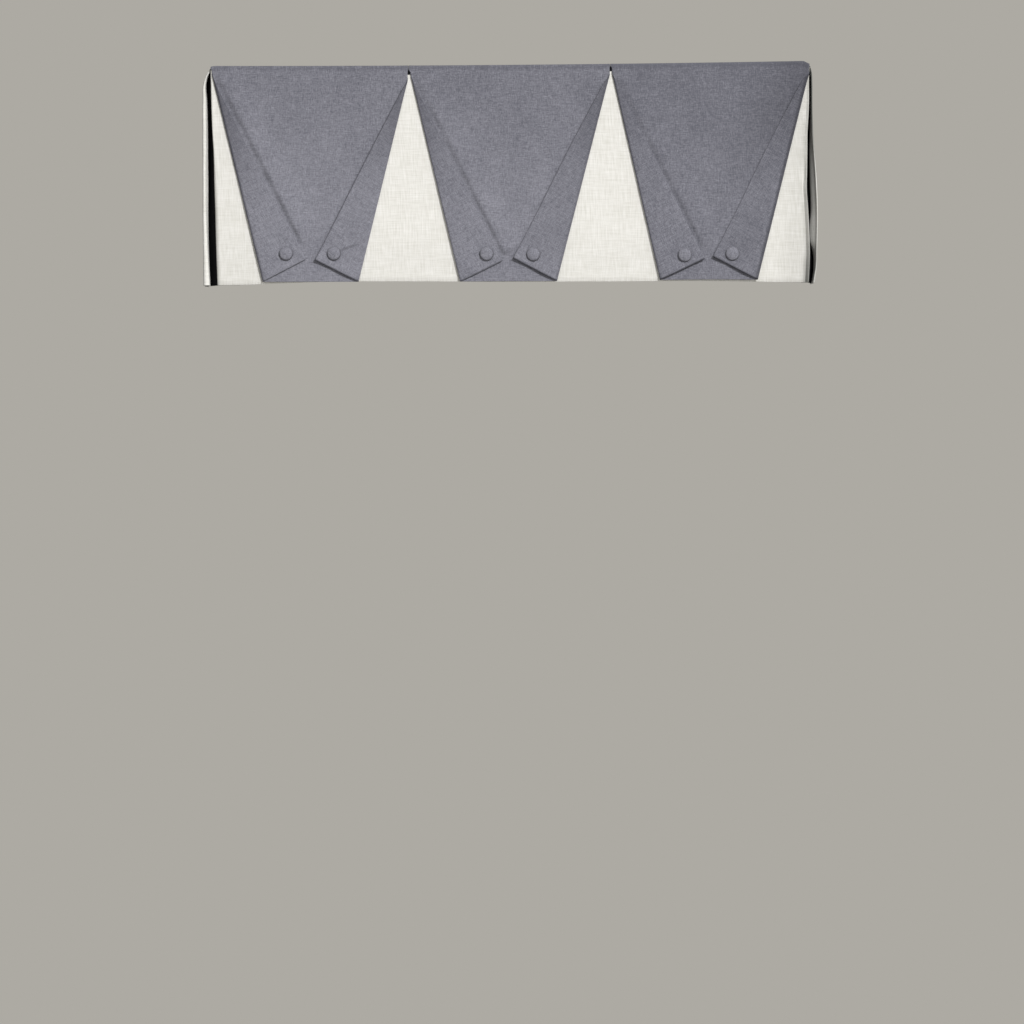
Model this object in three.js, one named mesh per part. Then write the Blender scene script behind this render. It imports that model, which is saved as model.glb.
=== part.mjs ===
// Tent flap valance: three lined linen panels whose sides fold back on a slant and are held
// by covered buttons, over a cream contrast cloth, with a cream return at each end and a
// black insert behind the open pleat at each corner.
// Millimetres, +Z up. The front faces -Y, the wall plane is y = 0, and z = 0 is the top of
// the heading at the middle of the front.
import * as THREE from "three";

// Size of the whole valance
const HALF_WIDTH = 632;
const DROP = 457;
const PROJECTION = 89;

// Thickness of each cloth, and the gap between pieces that lie on each other
const LINEN = 1.5;
const CREAM = 1.5;
const INSERT = 1;
const GAP = 0.3;

// Heading: how far each cloth runs back over the top, and the bend at the front edge
const CREAM_BEND = 3;
const CREAM_REACH = 86;
const PANEL_REACH = 9;
const RETURN_REACH = 24;
const RETURN_BEND = 2;
const BEND_STEPS = 3;

// Folded flaps: the fold's middle radius, and how the flap settles round its button
const FOLD_RADIUS = 1.3;
const LEAST_FLAP = 1;
const SOFTEN = 16;
const PRESS = 22;
const CORNER_SPREAD = 20;

// Above each fold the sides of two panels part a little, which leaves a small dark notch
const NOTCH_TOP = 9;
const NOTCH_HALF = 1;

// Hang of the panels: how far the hem stands forward, and the bow between the flaps
const LEAN = 1.8;
const BOW = 1.6;

// Corner pleats: cloth turned in behind each edge, and the black insert behind them
const TURN_IN = 34;
const RETURN_TURN_IN = 30;
const RETURN_FOLD_DEPTH = 82;
const RETURN_BACK_FLARE = 0.6;
const RETURN_FLARE_DEPTH = 34;
const INSERT_FRONT = 44;
const INSERT_SIDE = 40;
const INSERT_CORNER = 4;
const INSERT_CLEAR = 0.7;
const INSERT_STEP = 3;

// Covered button: radius, height of the rim over the cloth, full height, radius of its back
const BUTTON = { radius: 15, rim: 2.4, shoulder: 5.2, height: 7.2, back: 9 };

// Steps across each part of a cloth
const FLAP_STEPS = 4;
const FOLD_STEPS = 4;
const PANEL_STEPS = 8;
const CREAM_STEPS = 10;
const RETURN_STEPS = 5;
const BUTTON_SIDES = 18;
const RIM_STEPS = 3;

// The top line rises to the right in a slight curve: z = slope * x + curve * x * x
const TOP_LINE = { slope: 0.0085, curve: 0.0000076 };

// How far each hem hangs off its nominal drop along the front, up being positive
const HEMS = [
  { x: -650, linen: -1.5, cream: -7.5 },
  { x: -560, linen: -1.5, cream: -6 },
  { x: -450, linen: -1.5, cream: -2 },
  { x: 0, linen: -1.5, cream: -1 },
  { x: 203, linen: -0.5, cream: -0.5 },
  { x: 414, linen: 1.5, cream: 0 },
  { x: 560, linen: 1.5, cream: -3 },
  { x: 650, linen: 1.5, cream: -4.3 },
];

// One row for each flap: the panel's side, the way in from it, how far down the fold
// starts, how far in it meets the hem, how much the flap puffs, how much its inner corner
// lifts, and where its button sits
const FLAPS = [
  {
    side: -632, inward: 1, start: 18, inset: 108.6,
    puff: 3, lift: 1.5, buttonX: -471.8, buttonDrop: 397,
  },
  {
    side: -215.1, inward: -1, start: 28, inset: 108.1,
    puff: 1.8, lift: 3.5, buttonX: -371, buttonDrop: 397,
  },
  {
    side: -214.5, inward: 1, start: 28, inset: 106.9,
    puff: 3.4, lift: 1.5, buttonX: -49, buttonDrop: 398,
  },
  {
    side: 211.1, inward: -1, start: 22, inset: 115.7,
    puff: 1.8, lift: 4, buttonX: 49.6, buttonDrop: 399,
  },
  {
    side: 211.7, inward: 1, start: 22, inset: 102.9,
    puff: 2.8, lift: 2, buttonX: 369.3, buttonDrop: 403,
  },
  {
    side: 632, inward: -1, start: 22, inset: 112.8,
    puff: 1.8, lift: 3.5, buttonX: 469.5, buttonDrop: 401,
  },
];
const PANELS = [
  { name: "panel_left", flaps: [FLAPS[0], FLAPS[1]] },
  { name: "panel_middle", flaps: [FLAPS[2], FLAPS[3]] },
  { name: "panel_right", flaps: [FLAPS[4], FLAPS[5]] },
];

// One corner pleat for each end. A row gives, at a drop below the top, how far from the
// middle the contrast cloth's fold and the return's outer face lie, and the radius of the
// return's front fold. The first row is the top of the insert alone.
const CORNERS = [
  {
    end: "left",
    sign: -1,
    turnRadius: 2,
    rows: [
      { drop: 6.5, edge: 632, outer: 634.4, radius: 1 },
      { drop: 10, edge: 632, outer: 637, radius: 1 },
      { drop: 18, edge: 632, outer: 641, radius: 1.5 },
      { drop: 33, edge: 632, outer: 645.7, radius: 2.4 },
      { drop: 73, edge: 631, outer: 647.8, radius: 3.4 },
      { drop: 140, edge: 628, outer: 648, radius: 3.2 },
      { drop: 244, edge: 625, outer: 647, radius: 2.6 },
      { drop: 370, edge: 622, outer: 646.3, radius: 3.8 },
      { drop: 457, edge: 619, outer: 645.7, radius: 5.8 },
    ],
  },
  {
    end: "right",
    sign: 1,
    turnRadius: 4.5,
    rows: [
      { drop: 6.5, edge: 632, outer: 634.4, radius: 1 },
      { drop: 10, edge: 632, outer: 636, radius: 1 },
      { drop: 18, edge: 632, outer: 637, radius: 1 },
      { drop: 33, edge: 631, outer: 638, radius: 1.3 },
      { drop: 73, edge: 631, outer: 638.5, radius: 1.4 },
      { drop: 140, edge: 630.5, outer: 639, radius: 1.5 },
      { drop: 200, edge: 628, outer: 642, radius: 2.4 },
      { drop: 300, edge: 630, outer: 644.8, radius: 3.2 },
      { drop: 400, edge: 632, outer: 645, radius: 2 },
      { drop: 457, edge: 630, outer: 638.5, radius: 1.5 },
    ],
  },
];

// Drops below the top at which each cloth has a row of points
const PANEL_DROPS = [12, 18, 22, 28, 36, 45, 75, 130, 200, 270, 340, 380, 410, 435, 457];
const CREAM_DROPS = [14, 33, 73, 140, 200, 260, 330, 400, 457];

// Finishes
const linen = new THREE.MeshStandardMaterial({ color: 0x7f7f88, roughness: 0.9, metalness: 0 });
const buttonLinen = new THREE.MeshStandardMaterial({ color: 0x85858e, roughness: 0.9, metalness: 0 });
const cream = new THREE.MeshStandardMaterial({ color: 0xece9e2, roughness: 0.92, metalness: 0 });
const black = new THREE.MeshStandardMaterial({ color: 0x0c0c0e, roughness: 0.95, metalness: 0 });

// Layers of the heading, from the top down, and the centre of the bend over the front edge
const LAYER = CREAM / 2 + GAP + LINEN / 2;
const PANEL_BEND = CREAM_BEND + LAYER;
const BEND_Y = CREAM_BEND - PROJECTION;
const BEND_Z = -(LINEN / 2 + PANEL_BEND);
const PANEL_Y = -(PROJECTION + LAYER);
const RETURN_TOP = BEND_Z + CREAM_BEND - CREAM - GAP;

const lerp = THREE.MathUtils.lerp;
const clamp = THREE.MathUtils.clamp;

// The value of one named column of a table, straight between the rows on each side
function between(table, by, column, at) {
  let i = 1;
  while (i < table.length - 1 && table[i][by] < at) i += 1;
  const low = table[i - 1];
  const high = table[i];
  const share = clamp((at - low[by]) / (high[by] - low[by]), 0, 1);
  return lerp(low[column], high[column], share);
}

// A point moved up or down to the uneven top line and hem of its cloth
function hung(cloth, x, y, z) {
  const down = clamp(-z / DROP, 0, 1);
  const top = TOP_LINE.slope * x + TOP_LINE.curve * x * x;
  const hem = between(HEMS, "x", cloth, x);
  return new THREE.Vector3(x, y, z + lerp(top, hem, down));
}

// The way that a cloth takes over the front edge, from the back of its heading down to the
// start of its drop
function overTheEdge(radius, reach) {
  const way = [{ y: BEND_Y + reach, z: BEND_Z + radius }];
  for (let i = 0; i <= BEND_STEPS; i += 1) {
    const turn = (i / BEND_STEPS) * (Math.PI / 2);
    way.push({ y: BEND_Y - radius * Math.sin(turn), z: BEND_Z + radius * Math.cos(turn) });
  }
  return way;
}

// A closed solid of a cloth, from rows of points on its middle surface. Points that fall
// together are welded, so a row may close up where the cloth runs out.
function clothSolid(rows, thickness) {
  const places = [];
  const known = new Map();
  const number = (p) => {
    const key = [p.x, p.y, p.z].map((c) => Math.round(c * 1000)).join();
    if (!known.has(key)) {
      known.set(key, places.length);
      places.push(p);
    }
    return known.get(key);
  };
  const grid = rows.map((row) => row.map(number));
  const faces = [];
  const add = (a, b, c) => {
    if (a !== b && b !== c && c !== a) faces.push([a, b, c]);
  };
  for (let i = 0; i + 1 < grid.length; i += 1) {
    for (let j = 0; j + 1 < grid[i].length; j += 1) {
      add(grid[i][j], grid[i + 1][j], grid[i + 1][j + 1]);
      add(grid[i][j], grid[i + 1][j + 1], grid[i][j + 1]);
    }
  }

  // Each point's normal, weighted by the angle of each face there
  const normals = places.map(() => new THREE.Vector3());
  const normal = new THREE.Vector3();
  for (const face of faces) {
    const corners = face.map((k) => places[k]);
    new THREE.Triangle(...corners).getNormal(normal);
    face.forEach((k, i) => {
      const one = corners[(i + 1) % 3].clone().sub(corners[i]);
      const two = corners[(i + 2) % 3].clone().sub(corners[i]);
      normals[k].addScaledVector(normal, one.angleTo(two));
    });
  }
  const count = places.length;
  const positions = [];
  for (const offset of [thickness / 2, -thickness / 2]) {
    places.forEach((p, k) => {
      positions.push(...p.clone().addScaledVector(normals[k].normalize(), offset).toArray());
    });
  }

  // Front, back, and a rim along every edge that has a face on one side only
  const index = [];
  const edges = new Map();
  for (const [a, b, c] of faces) {
    index.push(a, b, c, count + a, count + c, count + b);
    for (const [from, to] of [[a, b], [b, c], [c, a]]) edges.set(from + "," + to, [from, to]);
  }
  for (const [from, to] of edges.values()) {
    if (edges.has(to + "," + from)) continue;
    index.push(to, from, count + from, to, count + from, count + to);
  }
  return facingOut(positions, index);
}

// A geometry whose faces point out, turned round where its volume comes out negative
function facingOut(positions, index) {
  let volume = 0;
  const at = (k) => new THREE.Vector3().fromArray(positions, 3 * k);
  for (let i = 0; i < index.length; i += 3) {
    volume += at(index[i]).dot(at(index[i + 1]).cross(at(index[i + 2])));
  }
  const turned = volume < 0 ? [...index].reverse() : index;
  const geometry = new THREE.BufferGeometry();
  geometry.setAttribute("position", new THREE.Float32BufferAttribute(positions, 3));
  geometry.setIndex(turned);
  geometry.computeVertexNormals();
  return geometry;
}

// How far the front of the panels stands out at a place on them
function panelFace(x, z) {
  const down = clamp((-z - PANEL_DROPS[0]) / (DROP - PANEL_DROPS[0]), 0, 1);
  const pitch = (2 * HALF_WIDTH) / PANELS.length;
  const across = (x + HALF_WIDTH) / pitch;
  const bow = Math.sin(Math.PI * (across - Math.floor(across))) ** 2;
  return PANEL_Y - LEAN * down - BOW * bow * down;
}

// The slant of a flap's fold line from upright
function slantOf(flap) {
  return Math.atan(flap.inset / (DROP - flap.start));
}

// How wide the cloth past the fold line is on a row, square to the fold
function widthPast(flap, down) {
  return Math.max(0, down - flap.start) * Math.sin(slantOf(flap));
}

// Where the panel's side lies at a drop: straight, but for the notch above the fold
function sideAt(flap, down) {
  const notch = THREE.MathUtils.smoothstep(down, NOTCH_TOP, flap.start);
  return flap.side + flap.inward * NOTCH_HALF * notch;
}

// Where the fold line crosses a row
function foldAt(flap, down) {
  return sideAt(flap, down) + (flap.inward * widthPast(flap, down)) / Math.cos(slantOf(flap));
}

// The roll of a fold with this width of cloth past it: the cloth that it takes up, and its
// middle radius
function rollOf(width) {
  const halfTurn = Math.PI * FOLD_RADIUS;
  if (width > halfTurn + LEAST_FLAP) return { taken: halfTurn, radius: FOLD_RADIUS };
  return { taken: width, radius: Math.max(FOLD_RADIUS, width / Math.PI) };
}

// A place on a flap: the cloth at a distance past its slanted fold line, rolled round the
// fold and laid back over the panel. `out` is how far it lies beyond the roll.
function foldedBack(flap, down, past) {
  if (down <= flap.start) return { x: sideAt(flap, down), z: -down, out: 0, rise: 0 };
  const slant = slantOf(flap);
  const { taken, radius } = rollOf(widthPast(flap, down));
  const turn = Math.min(past, taken) / radius;
  const out = Math.max(0, past - taken);
  const run = (down - flap.start) / Math.cos(slant) - past * Math.tan(slant);
  const fromFold = out - radius * Math.sin(turn);
  const fromSide = run * Math.sin(slant) + fromFold * Math.cos(slant);
  return {
    x: sideAt(flap, down) + flap.inward * fromSide,
    z: -flap.start - run * Math.cos(slant) + fromFold * Math.sin(slant),
    out,
    rise: radius * (1 - Math.cos(turn)),
  };
}

// How far the flap's cloth stands off the panel: free between the fold and the edge, held
// down at the button, and lifted at the inner corner
function standOff(flap, spot) {
  if (spot.out === 0) return 0;
  const corner = foldedBack(flap, DROP, widthPast(flap, DROP));
  const fromButton = Math.hypot(spot.x - flap.buttonX, spot.z + flap.buttonDrop);
  const fromCorner = Math.hypot(spot.x - corner.x, spot.z - corner.z);
  const free = 1 - Math.exp(-((fromButton / PRESS) ** 2) / 2);
  const soft = 1 - Math.exp(-spot.out / SOFTEN);
  const lifted = Math.exp(-((fromCorner / CORNER_SPREAD) ** 2) / 2);
  return (flap.puff * soft + flap.lift * lifted) * free;
}

// The points of one flap on one row, from its free edge to the fold line
function flapRow(flap, down) {
  const width = widthPast(flap, down);
  const { taken } = rollOf(width);
  const row = [];
  for (let i = 0; i < FLAP_STEPS + FOLD_STEPS; i += 1) {
    const inFlap = clamp(1 - i / FLAP_STEPS, 0, 1);
    const inRoll = clamp((FLAP_STEPS + FOLD_STEPS - i) / FOLD_STEPS, 0, 1);
    const spot = foldedBack(flap, down, taken * inRoll + (width - taken) * inFlap);
    const y = panelFace(spot.x, spot.z) - spot.rise - standOff(flap, spot);
    row.push(hung("linen", spot.x, y, spot.z));
  }
  return row;
}

// A linen panel with both flaps
function panelSolid(panel) {
  const [left, right] = panel.flaps;
  const rows = [];
  for (const { y, z } of overTheEdge(PANEL_BEND, PANEL_REACH)) {
    const row = [];
    for (let i = 0; i <= PANEL_STEPS; i += 1) {
      row.push(hung("linen", lerp(left.side, right.side, i / PANEL_STEPS), y, z));
    }
    rows.push(widened(row, FLAP_STEPS + FOLD_STEPS));
  }
  for (const down of PANEL_DROPS) {
    const middle = [];
    for (let i = 0; i <= PANEL_STEPS; i += 1) {
      const x = lerp(foldAt(left, down), foldAt(right, down), i / PANEL_STEPS);
      middle.push(hung("linen", x, panelFace(x, -down), -down));
    }
    rows.push([...flapRow(left, down), ...middle, ...flapRow(right, down).reverse()]);
  }
  return clothSolid(rows, LINEN);
}

// A row with its end points repeated, for the rows where nothing is folded back
function widened(row, times) {
  const first = Array(times).fill(row[0]);
  const last = Array(times).fill(row[row.length - 1]);
  return [...first, ...row, ...last];
}

// The turned-in end of the contrast cloth on one row, from its raw edge out to the fold
function turnedIn(corner, down) {
  const radius = corner.turnRadius;
  const axis = between(corner.rows, "drop", "edge", down) - radius - CREAM / 2;
  const row = [hung("cream", corner.sign * (axis - TURN_IN), 2 * radius - PROJECTION, -down)];
  for (let i = 0; i < FOLD_STEPS; i += 1) {
    const turn = Math.PI * (1 - i / FOLD_STEPS);
    const x = axis + radius * Math.sin(turn);
    const y = radius * (1 - Math.cos(turn)) - PROJECTION;
    row.push(hung("cream", corner.sign * x, y, -down));
  }
  return { row, axis };
}

// The contrast cloth: heading, front, and both ends turned in
function contrastSolid() {
  const [left, right] = CORNERS;
  const rows = [];
  for (const { y, z } of overTheEdge(CREAM_BEND, CREAM_REACH)) {
    const row = [];
    for (let i = 0; i <= CREAM_STEPS; i += 1) {
      row.push(hung("cream", lerp(-HALF_WIDTH, HALF_WIDTH, i / CREAM_STEPS), y, z));
    }
    rows.push(widened(row, FOLD_STEPS + 1));
  }
  for (const down of CREAM_DROPS) {
    const leftEnd = turnedIn(left, down);
    const rightEnd = turnedIn(right, down);
    const middle = [];
    for (let i = 0; i <= CREAM_STEPS; i += 1) {
      const x = lerp(-leftEnd.axis, rightEnd.axis, i / CREAM_STEPS);
      middle.push(hung("cream", x, -PROJECTION, -down));
    }
    rows.push([...leftEnd.row, ...middle, ...rightEnd.row.reverse()]);
  }
  return clothSolid(rows, CREAM);
}

// A return: it turns over the end of the top, runs from the wall to the corner, and folds
// in on itself there
function returnSolid(corner) {
  const rows = [];
  const side = HALF_WIDTH + CREAM / 2 + GAP + CREAM / 2;
  const spots = [{ x: side - RETURN_REACH, z: RETURN_TOP }];
  for (let i = 0; i <= BEND_STEPS; i += 1) {
    const turn = (i / BEND_STEPS) * (Math.PI / 2);
    spots.push({
      x: side - RETURN_BEND * (1 - Math.sin(turn)),
      z: RETURN_TOP - RETURN_BEND * (1 - Math.cos(turn)),
    });
  }
  for (const { x, z } of spots) {
    const row = [];
    for (let i = 0; i <= RETURN_STEPS; i += 1) {
      const y = lerp(0, -RETURN_FOLD_DEPTH, i / RETURN_STEPS);
      row.push(hung("cream", corner.sign * x, y, z));
    }
    const front = row[RETURN_STEPS];
    rows.push([...row, ...Array(FOLD_STEPS + 1).fill(front)]);
  }
  for (const place of corner.rows.slice(1)) {
    const { drop: down, radius } = place;
    const outer = place.outer - CREAM / 2;
    const turnIn = RETURN_TURN_IN * clamp(down / RETURN_TURN_IN, 0, 1);
    const row = [];
    for (let i = 0; i <= RETURN_STEPS; i += 1) {
      const depth = (RETURN_FOLD_DEPTH * i) / RETURN_STEPS;
      const swell = THREE.MathUtils.smoothstep(depth, 0, RETURN_FLARE_DEPTH);
      const x = lerp(side, outer, lerp(RETURN_BACK_FLARE, 1, swell));
      row.push(hung("cream", corner.sign * x, -depth, -down));
    }
    for (let i = 1; i <= FOLD_STEPS; i += 1) {
      const turn = (i / FOLD_STEPS) * Math.PI;
      const x = outer - radius * (1 - Math.cos(turn));
      const y = -RETURN_FOLD_DEPTH - radius * Math.sin(turn);
      row.push(hung("cream", corner.sign * x, y, -down));
    }
    const raw = turnIn - RETURN_FOLD_DEPTH;
    row.push(hung("cream", corner.sign * (outer - 2 * radius), raw, -down));
    rows.push(row);
  }
  return clothSolid(rows, CREAM);
}

// A black insert: it lies behind both turned-in edges and bends round the corner, then steps
// out behind the raw edge of the return, so that the open pleat shows nothing but the insert
function insertSolid(corner) {
  const frontY = 2 * corner.turnRadius - PROJECTION + CREAM / 2 + GAP + INSERT / 2;
  const raw = RETURN_TURN_IN - RETURN_FOLD_DEPTH + INSERT_CLEAR;
  const rows = corner.rows.map(({ drop: down, outer, radius }) => {
    const side = outer - 2 * radius - CREAM - INSERT_CLEAR - INSERT / 2;
    const row = [hung("cream", corner.sign * (side - INSERT_FRONT), frontY, -down)];
    for (let i = 0; i <= FOLD_STEPS; i += 1) {
      const turn = (i / FOLD_STEPS) * (Math.PI / 2);
      const x = side - INSERT_CORNER * (1 - Math.sin(turn));
      const y = frontY + INSERT_CORNER * (1 - Math.cos(turn));
      row.push(hung("cream", corner.sign * x, y, -down));
    }
    const wall = outer - CREAM - INSERT_CLEAR - INSERT / 2;
    row.push(hung("cream", corner.sign * side, raw, -down));
    row.push(hung("cream", corner.sign * wall, raw + INSERT_STEP, -down));
    row.push(hung("cream", corner.sign * wall, frontY + INSERT_SIDE, -down));
    return row;
  });
  return clothSolid(rows, INSERT);
}

// A covered button: a flat back, a rounded rim and a low dome
function buttonGeometry() {
  const { radius, rim, shoulder, height, back } = BUTTON;
  const profile = new THREE.Path();
  profile.moveTo(0, 0);
  profile.lineTo(back, 0);
  profile.quadraticCurveTo(radius, rim / 3, radius, rim);
  profile.quadraticCurveTo(radius, (rim + shoulder) / 2, radius * 0.8, shoulder);
  profile.quadraticCurveTo(radius / 2, height, 0, height);
  const points = profile.getPoints(RIM_STEPS);
  points[points.length - 1].x = 0;
  return new THREE.LatheGeometry(points, BUTTON_SIDES).rotateX(Math.PI);
}

// Where a button sits: its back a gap in front of the foremost cloth that it covers
function buttonSeat(flap, panel) {
  const seat = hung("linen", flap.buttonX, 0, -flap.buttonDrop);
  const rings = [
    { radius: BUTTON.back / 2, clear: 0 },
    { radius: BUTTON.back, clear: 0 },
    { radius: (BUTTON.back + BUTTON.radius) / 2, clear: BUTTON.rim / 4 },
    { radius: BUTTON.radius, clear: BUTTON.rim },
  ];
  const ray = new THREE.Raycaster();
  const towardsWall = new THREE.Vector3(0, 1, 0);
  let foremost = 0;
  for (const { radius, clear } of rings) {
    for (let i = 0; i < BUTTON_SIDES; i += 1) {
      const turn = (i / BUTTON_SIDES) * 2 * Math.PI;
      const x = seat.x + radius * Math.cos(turn);
      const z = seat.z + radius * Math.sin(turn);
      ray.set(new THREE.Vector3(x, -2 * PROJECTION, z), towardsWall);
      const [hit] = ray.intersectObject(panel);
      if (hit) foremost = Math.min(foremost, hit.point.y + clear);
    }
  }
  return seat.setY(foremost - GAP);
}

function piece(name, geometry, material) {
  const mesh = new THREE.Mesh(geometry, material);
  mesh.name = name;
  return mesh;
}

// The whole valance
const valance = new THREE.Group();
valance.add(piece("contrast_cloth", contrastSolid(), cream));
for (const corner of CORNERS) {
  valance.add(piece("return_" + corner.end, returnSolid(corner), cream));
  valance.add(piece("corner_insert_" + corner.end, insertSolid(corner), black));
}
for (const panel of PANELS) {
  const cloth = piece(panel.name, panelSolid(panel), linen);
  valance.add(cloth);
  for (const flap of panel.flaps) {
    const button = piece("button_" + (FLAPS.indexOf(flap) + 1), buttonGeometry(), buttonLinen);
    button.position.copy(buttonSeat(flap, cloth));
    valance.add(button);
  }
}

export default valance;
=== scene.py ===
# %% [markdown]
# # A tent flap valance
#
# A valance is a short cloth treatment for the top of a window. On this one three linen
# panels hang side by side, and both sides of each are folded back on a slant, like the door
# flaps of a tent. A covered button holds each flap. A cream contrast cloth shows behind, and
# the same cream cloth returns to the wall at the ends. A black insert lies in each corner
# pleat.
#
# The packed model gives the place and size of every piece. This script makes the fine
# surface of each, its weave, and the light.

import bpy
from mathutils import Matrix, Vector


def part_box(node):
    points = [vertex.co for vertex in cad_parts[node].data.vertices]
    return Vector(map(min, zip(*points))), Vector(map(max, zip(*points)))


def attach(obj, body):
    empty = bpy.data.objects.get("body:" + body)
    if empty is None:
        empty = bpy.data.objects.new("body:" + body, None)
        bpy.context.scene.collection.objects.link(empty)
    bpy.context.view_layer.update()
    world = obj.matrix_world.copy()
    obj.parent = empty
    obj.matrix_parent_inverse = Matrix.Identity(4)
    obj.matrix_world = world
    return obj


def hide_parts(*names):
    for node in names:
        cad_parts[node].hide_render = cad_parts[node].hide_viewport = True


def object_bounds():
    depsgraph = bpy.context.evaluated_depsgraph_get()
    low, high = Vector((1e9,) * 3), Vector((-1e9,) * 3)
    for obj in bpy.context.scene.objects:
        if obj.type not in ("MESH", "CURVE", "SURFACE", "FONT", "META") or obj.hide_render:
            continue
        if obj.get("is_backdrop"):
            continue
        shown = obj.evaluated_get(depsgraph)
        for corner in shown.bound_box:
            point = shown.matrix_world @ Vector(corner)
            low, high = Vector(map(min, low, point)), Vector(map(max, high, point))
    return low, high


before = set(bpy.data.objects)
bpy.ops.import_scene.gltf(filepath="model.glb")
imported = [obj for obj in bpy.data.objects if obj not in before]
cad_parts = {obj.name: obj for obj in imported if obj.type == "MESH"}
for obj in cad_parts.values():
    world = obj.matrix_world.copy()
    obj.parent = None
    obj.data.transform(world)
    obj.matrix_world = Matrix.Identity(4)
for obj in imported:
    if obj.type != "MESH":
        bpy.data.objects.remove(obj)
cad_low, cad_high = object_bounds()
print("box of the model in mm:", [round(1000 * side) for side in cad_high - cad_low])

# %% [markdown]
# ## Sizes
#
# A maker writes a cloth's sizes in millimetres, and Blender's unit here is the metre. So all
# sizes below are millimetres, and they are turned into metres at one place, where a mesh is
# made. What the packed model knows, such as where a panel ends or a button sits, is read
# from its boxes and not written down again.

# %% Units and the boxes of the model
import math

import bpy
import numpy as np
from mathutils import Vector

MM = 0.001


def box_of(node):
    """The lowest and highest corner of one solid of the model, in millimetres."""
    low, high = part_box(node)
    return np.array(low) / MM, np.array(high) / MM


SIDES = ("left", "middle", "right")
PANEL_BOXES = {side: box_of("panel_" + side) for side in SIDES}
for side, (low, high) in PANEL_BOXES.items():
    print(f"panel {side}: x from {low[0]:.1f} to {high[0]:.1f} mm")

# %% Sizes that all cloths share
DROP = 457
HALF = -PANEL_BOXES["left"][0][0]
LINEN = 1.5
CREAM = 1.5
BLACK = 1.0
GAP = 0.3
CREAM_BEND = 3
CREAM_REACH = 86
PANEL_REACH = 9

PROJECTION = -box_of("contrast_cloth")[0][1] - CREAM / 2
LAYER = CREAM / 2 + GAP + LINEN / 2
PANEL_BEND = CREAM_BEND + LAYER
BEND_Y = CREAM_BEND - PROJECTION
BEND_Z = -(LINEN / 2 + PANEL_BEND)
PANEL_Y = -(PROJECTION + LAYER)
print(f"front of the contrast cloth {PROJECTION:.1f} mm off the wall, panels {-PANEL_Y:.1f} mm")

# %% Curves that every piece uses
def smooth(at, start, end):
    """0 before start, 1 after end, and an even curve between."""
    t = np.clip((at - start) / (end - start), 0, 1)
    return t * t * (3 - 2 * t)


def band(at, start, full, fall, end):
    """0 before start, 1 from full to fall, and 0 again after end."""
    return smooth(at, start, full) * (1 - smooth(at, fall, end))


def bell(distance, width):
    """1 where the distance is 0, and next to nothing at twice the width."""
    return np.exp(-((distance / width) ** 2))


def through(at, places, values):
    """A smooth curve through a few given values."""
    places, values = np.asarray(places, float), np.asarray(values, float)
    slopes = np.gradient(values, places)
    at = np.clip(at, places[0], places[-1])
    i = np.clip(np.searchsorted(places, at) - 1, 0, len(places) - 2)
    width = places[i + 1] - places[i]
    t = (at - places[i]) / width
    start = (1 + 2 * t) * (1 - t) ** 2 * values[i] + t * (1 - t) ** 2 * width * slopes[i]
    end = t * t * (3 - 2 * t) * values[i + 1] + t * t * (t - 1) * width * slopes[i + 1]
    return start + end


def length_along(x, y):
    """How far each point of a line, or of each row, lies from its start, round the bends."""
    steps = np.hypot(np.diff(x), np.diff(y))
    return np.cumsum(np.concatenate([0 * steps[..., :1], steps], axis=-1), axis=-1)


print("a curve through 0, 2 and 1 at its quarters:", through([0.25, 0.75], [0, 0.5, 1], [0, 2, 1]))

# %% [markdown]
# ## How a hung cloth differs from a drawn one
#
# Nothing that is sewn by hand and hung over a window is quite straight. The top line rises
# a little to the right, and each hem wanders by a few millimetres. The same two curves are
# laid under every piece, so that neighbours stay together.

# %% The uneven top line and hems
TOP_SLOPE = 0.0085
TOP_CURVE = 0.0000076
CORNER_DIPS = ((1, 6.5, 618), (-1, 2.0, 622))
DIP_END = 634
DIP_DOWN = (4, 64)
HEM_AT = [-650, -560, -450, 0, 203, 414, 560, 650]
HEMS = {
    "linen": [-1.5, -1.5, -1.5, -0.5, 1, 3.5, 3, 3],
    "cream": [-9, -7.5, -3, -1, -0.5, 0.5, -1.5, -2.8],
}


def corner_dip(x, z):
    """How far the top sinks at its two corners, where the cloth is only folded down."""
    near_end = sum(deep * smooth(side * x, start, DIP_END) for side, deep, start in CORNER_DIPS)
    return near_end * (1 - smooth(-z, *DIP_DOWN))


def hung(cloth, x, y, z):
    """Points moved up or down to the uneven top line and hem of their cloth."""
    x, y, z = np.broadcast_arrays(x, y, z)
    down = np.clip(-z / DROP, 0, 1)
    top = TOP_SLOPE * x + TOP_CURVE * x * x
    hem = through(x, HEM_AT, HEMS[cloth])
    return np.stack([x, y, z + top + (hem - top) * down - corner_dip(x, z)], axis=-1)


rise = hung("linen", HALF, 0, 0)[2] - hung("linen", -HALF, 0, 0)[2]
print(f"the top line rises {rise:.1f} mm from left to right")

# %% [markdown]
# ## Small unevenness
#
# Cloth that hangs free is never flat: it has slow waves a hand wide, and over them faint
# ones of a few centimetres. A sum of sine waves in many directions gives such a surface. The
# directions come from a seeded generator, so that each run gives the same cloth. Below, each
# pair of numbers for waves is their size and their seed.

# %% Slow waves
WAVES = 9
WAVE_LENGTHS = (1.3, 3.2)


def waves(x, z, size, seed):
    """A smooth random surface between about -1 and 1, with bumps of the given size."""
    draw = np.random.default_rng(seed)
    total = 0
    for _ in range(WAVES):
        angle, phase = draw.uniform(0, 2 * math.pi, 2)
        pace = 2 * math.pi / (size * draw.uniform(*WAVE_LENGTHS))
        total = total + np.sin(pace * (x * math.cos(angle) + z * math.sin(angle)) + phase)
    return total / math.sqrt(WAVES)


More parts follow.
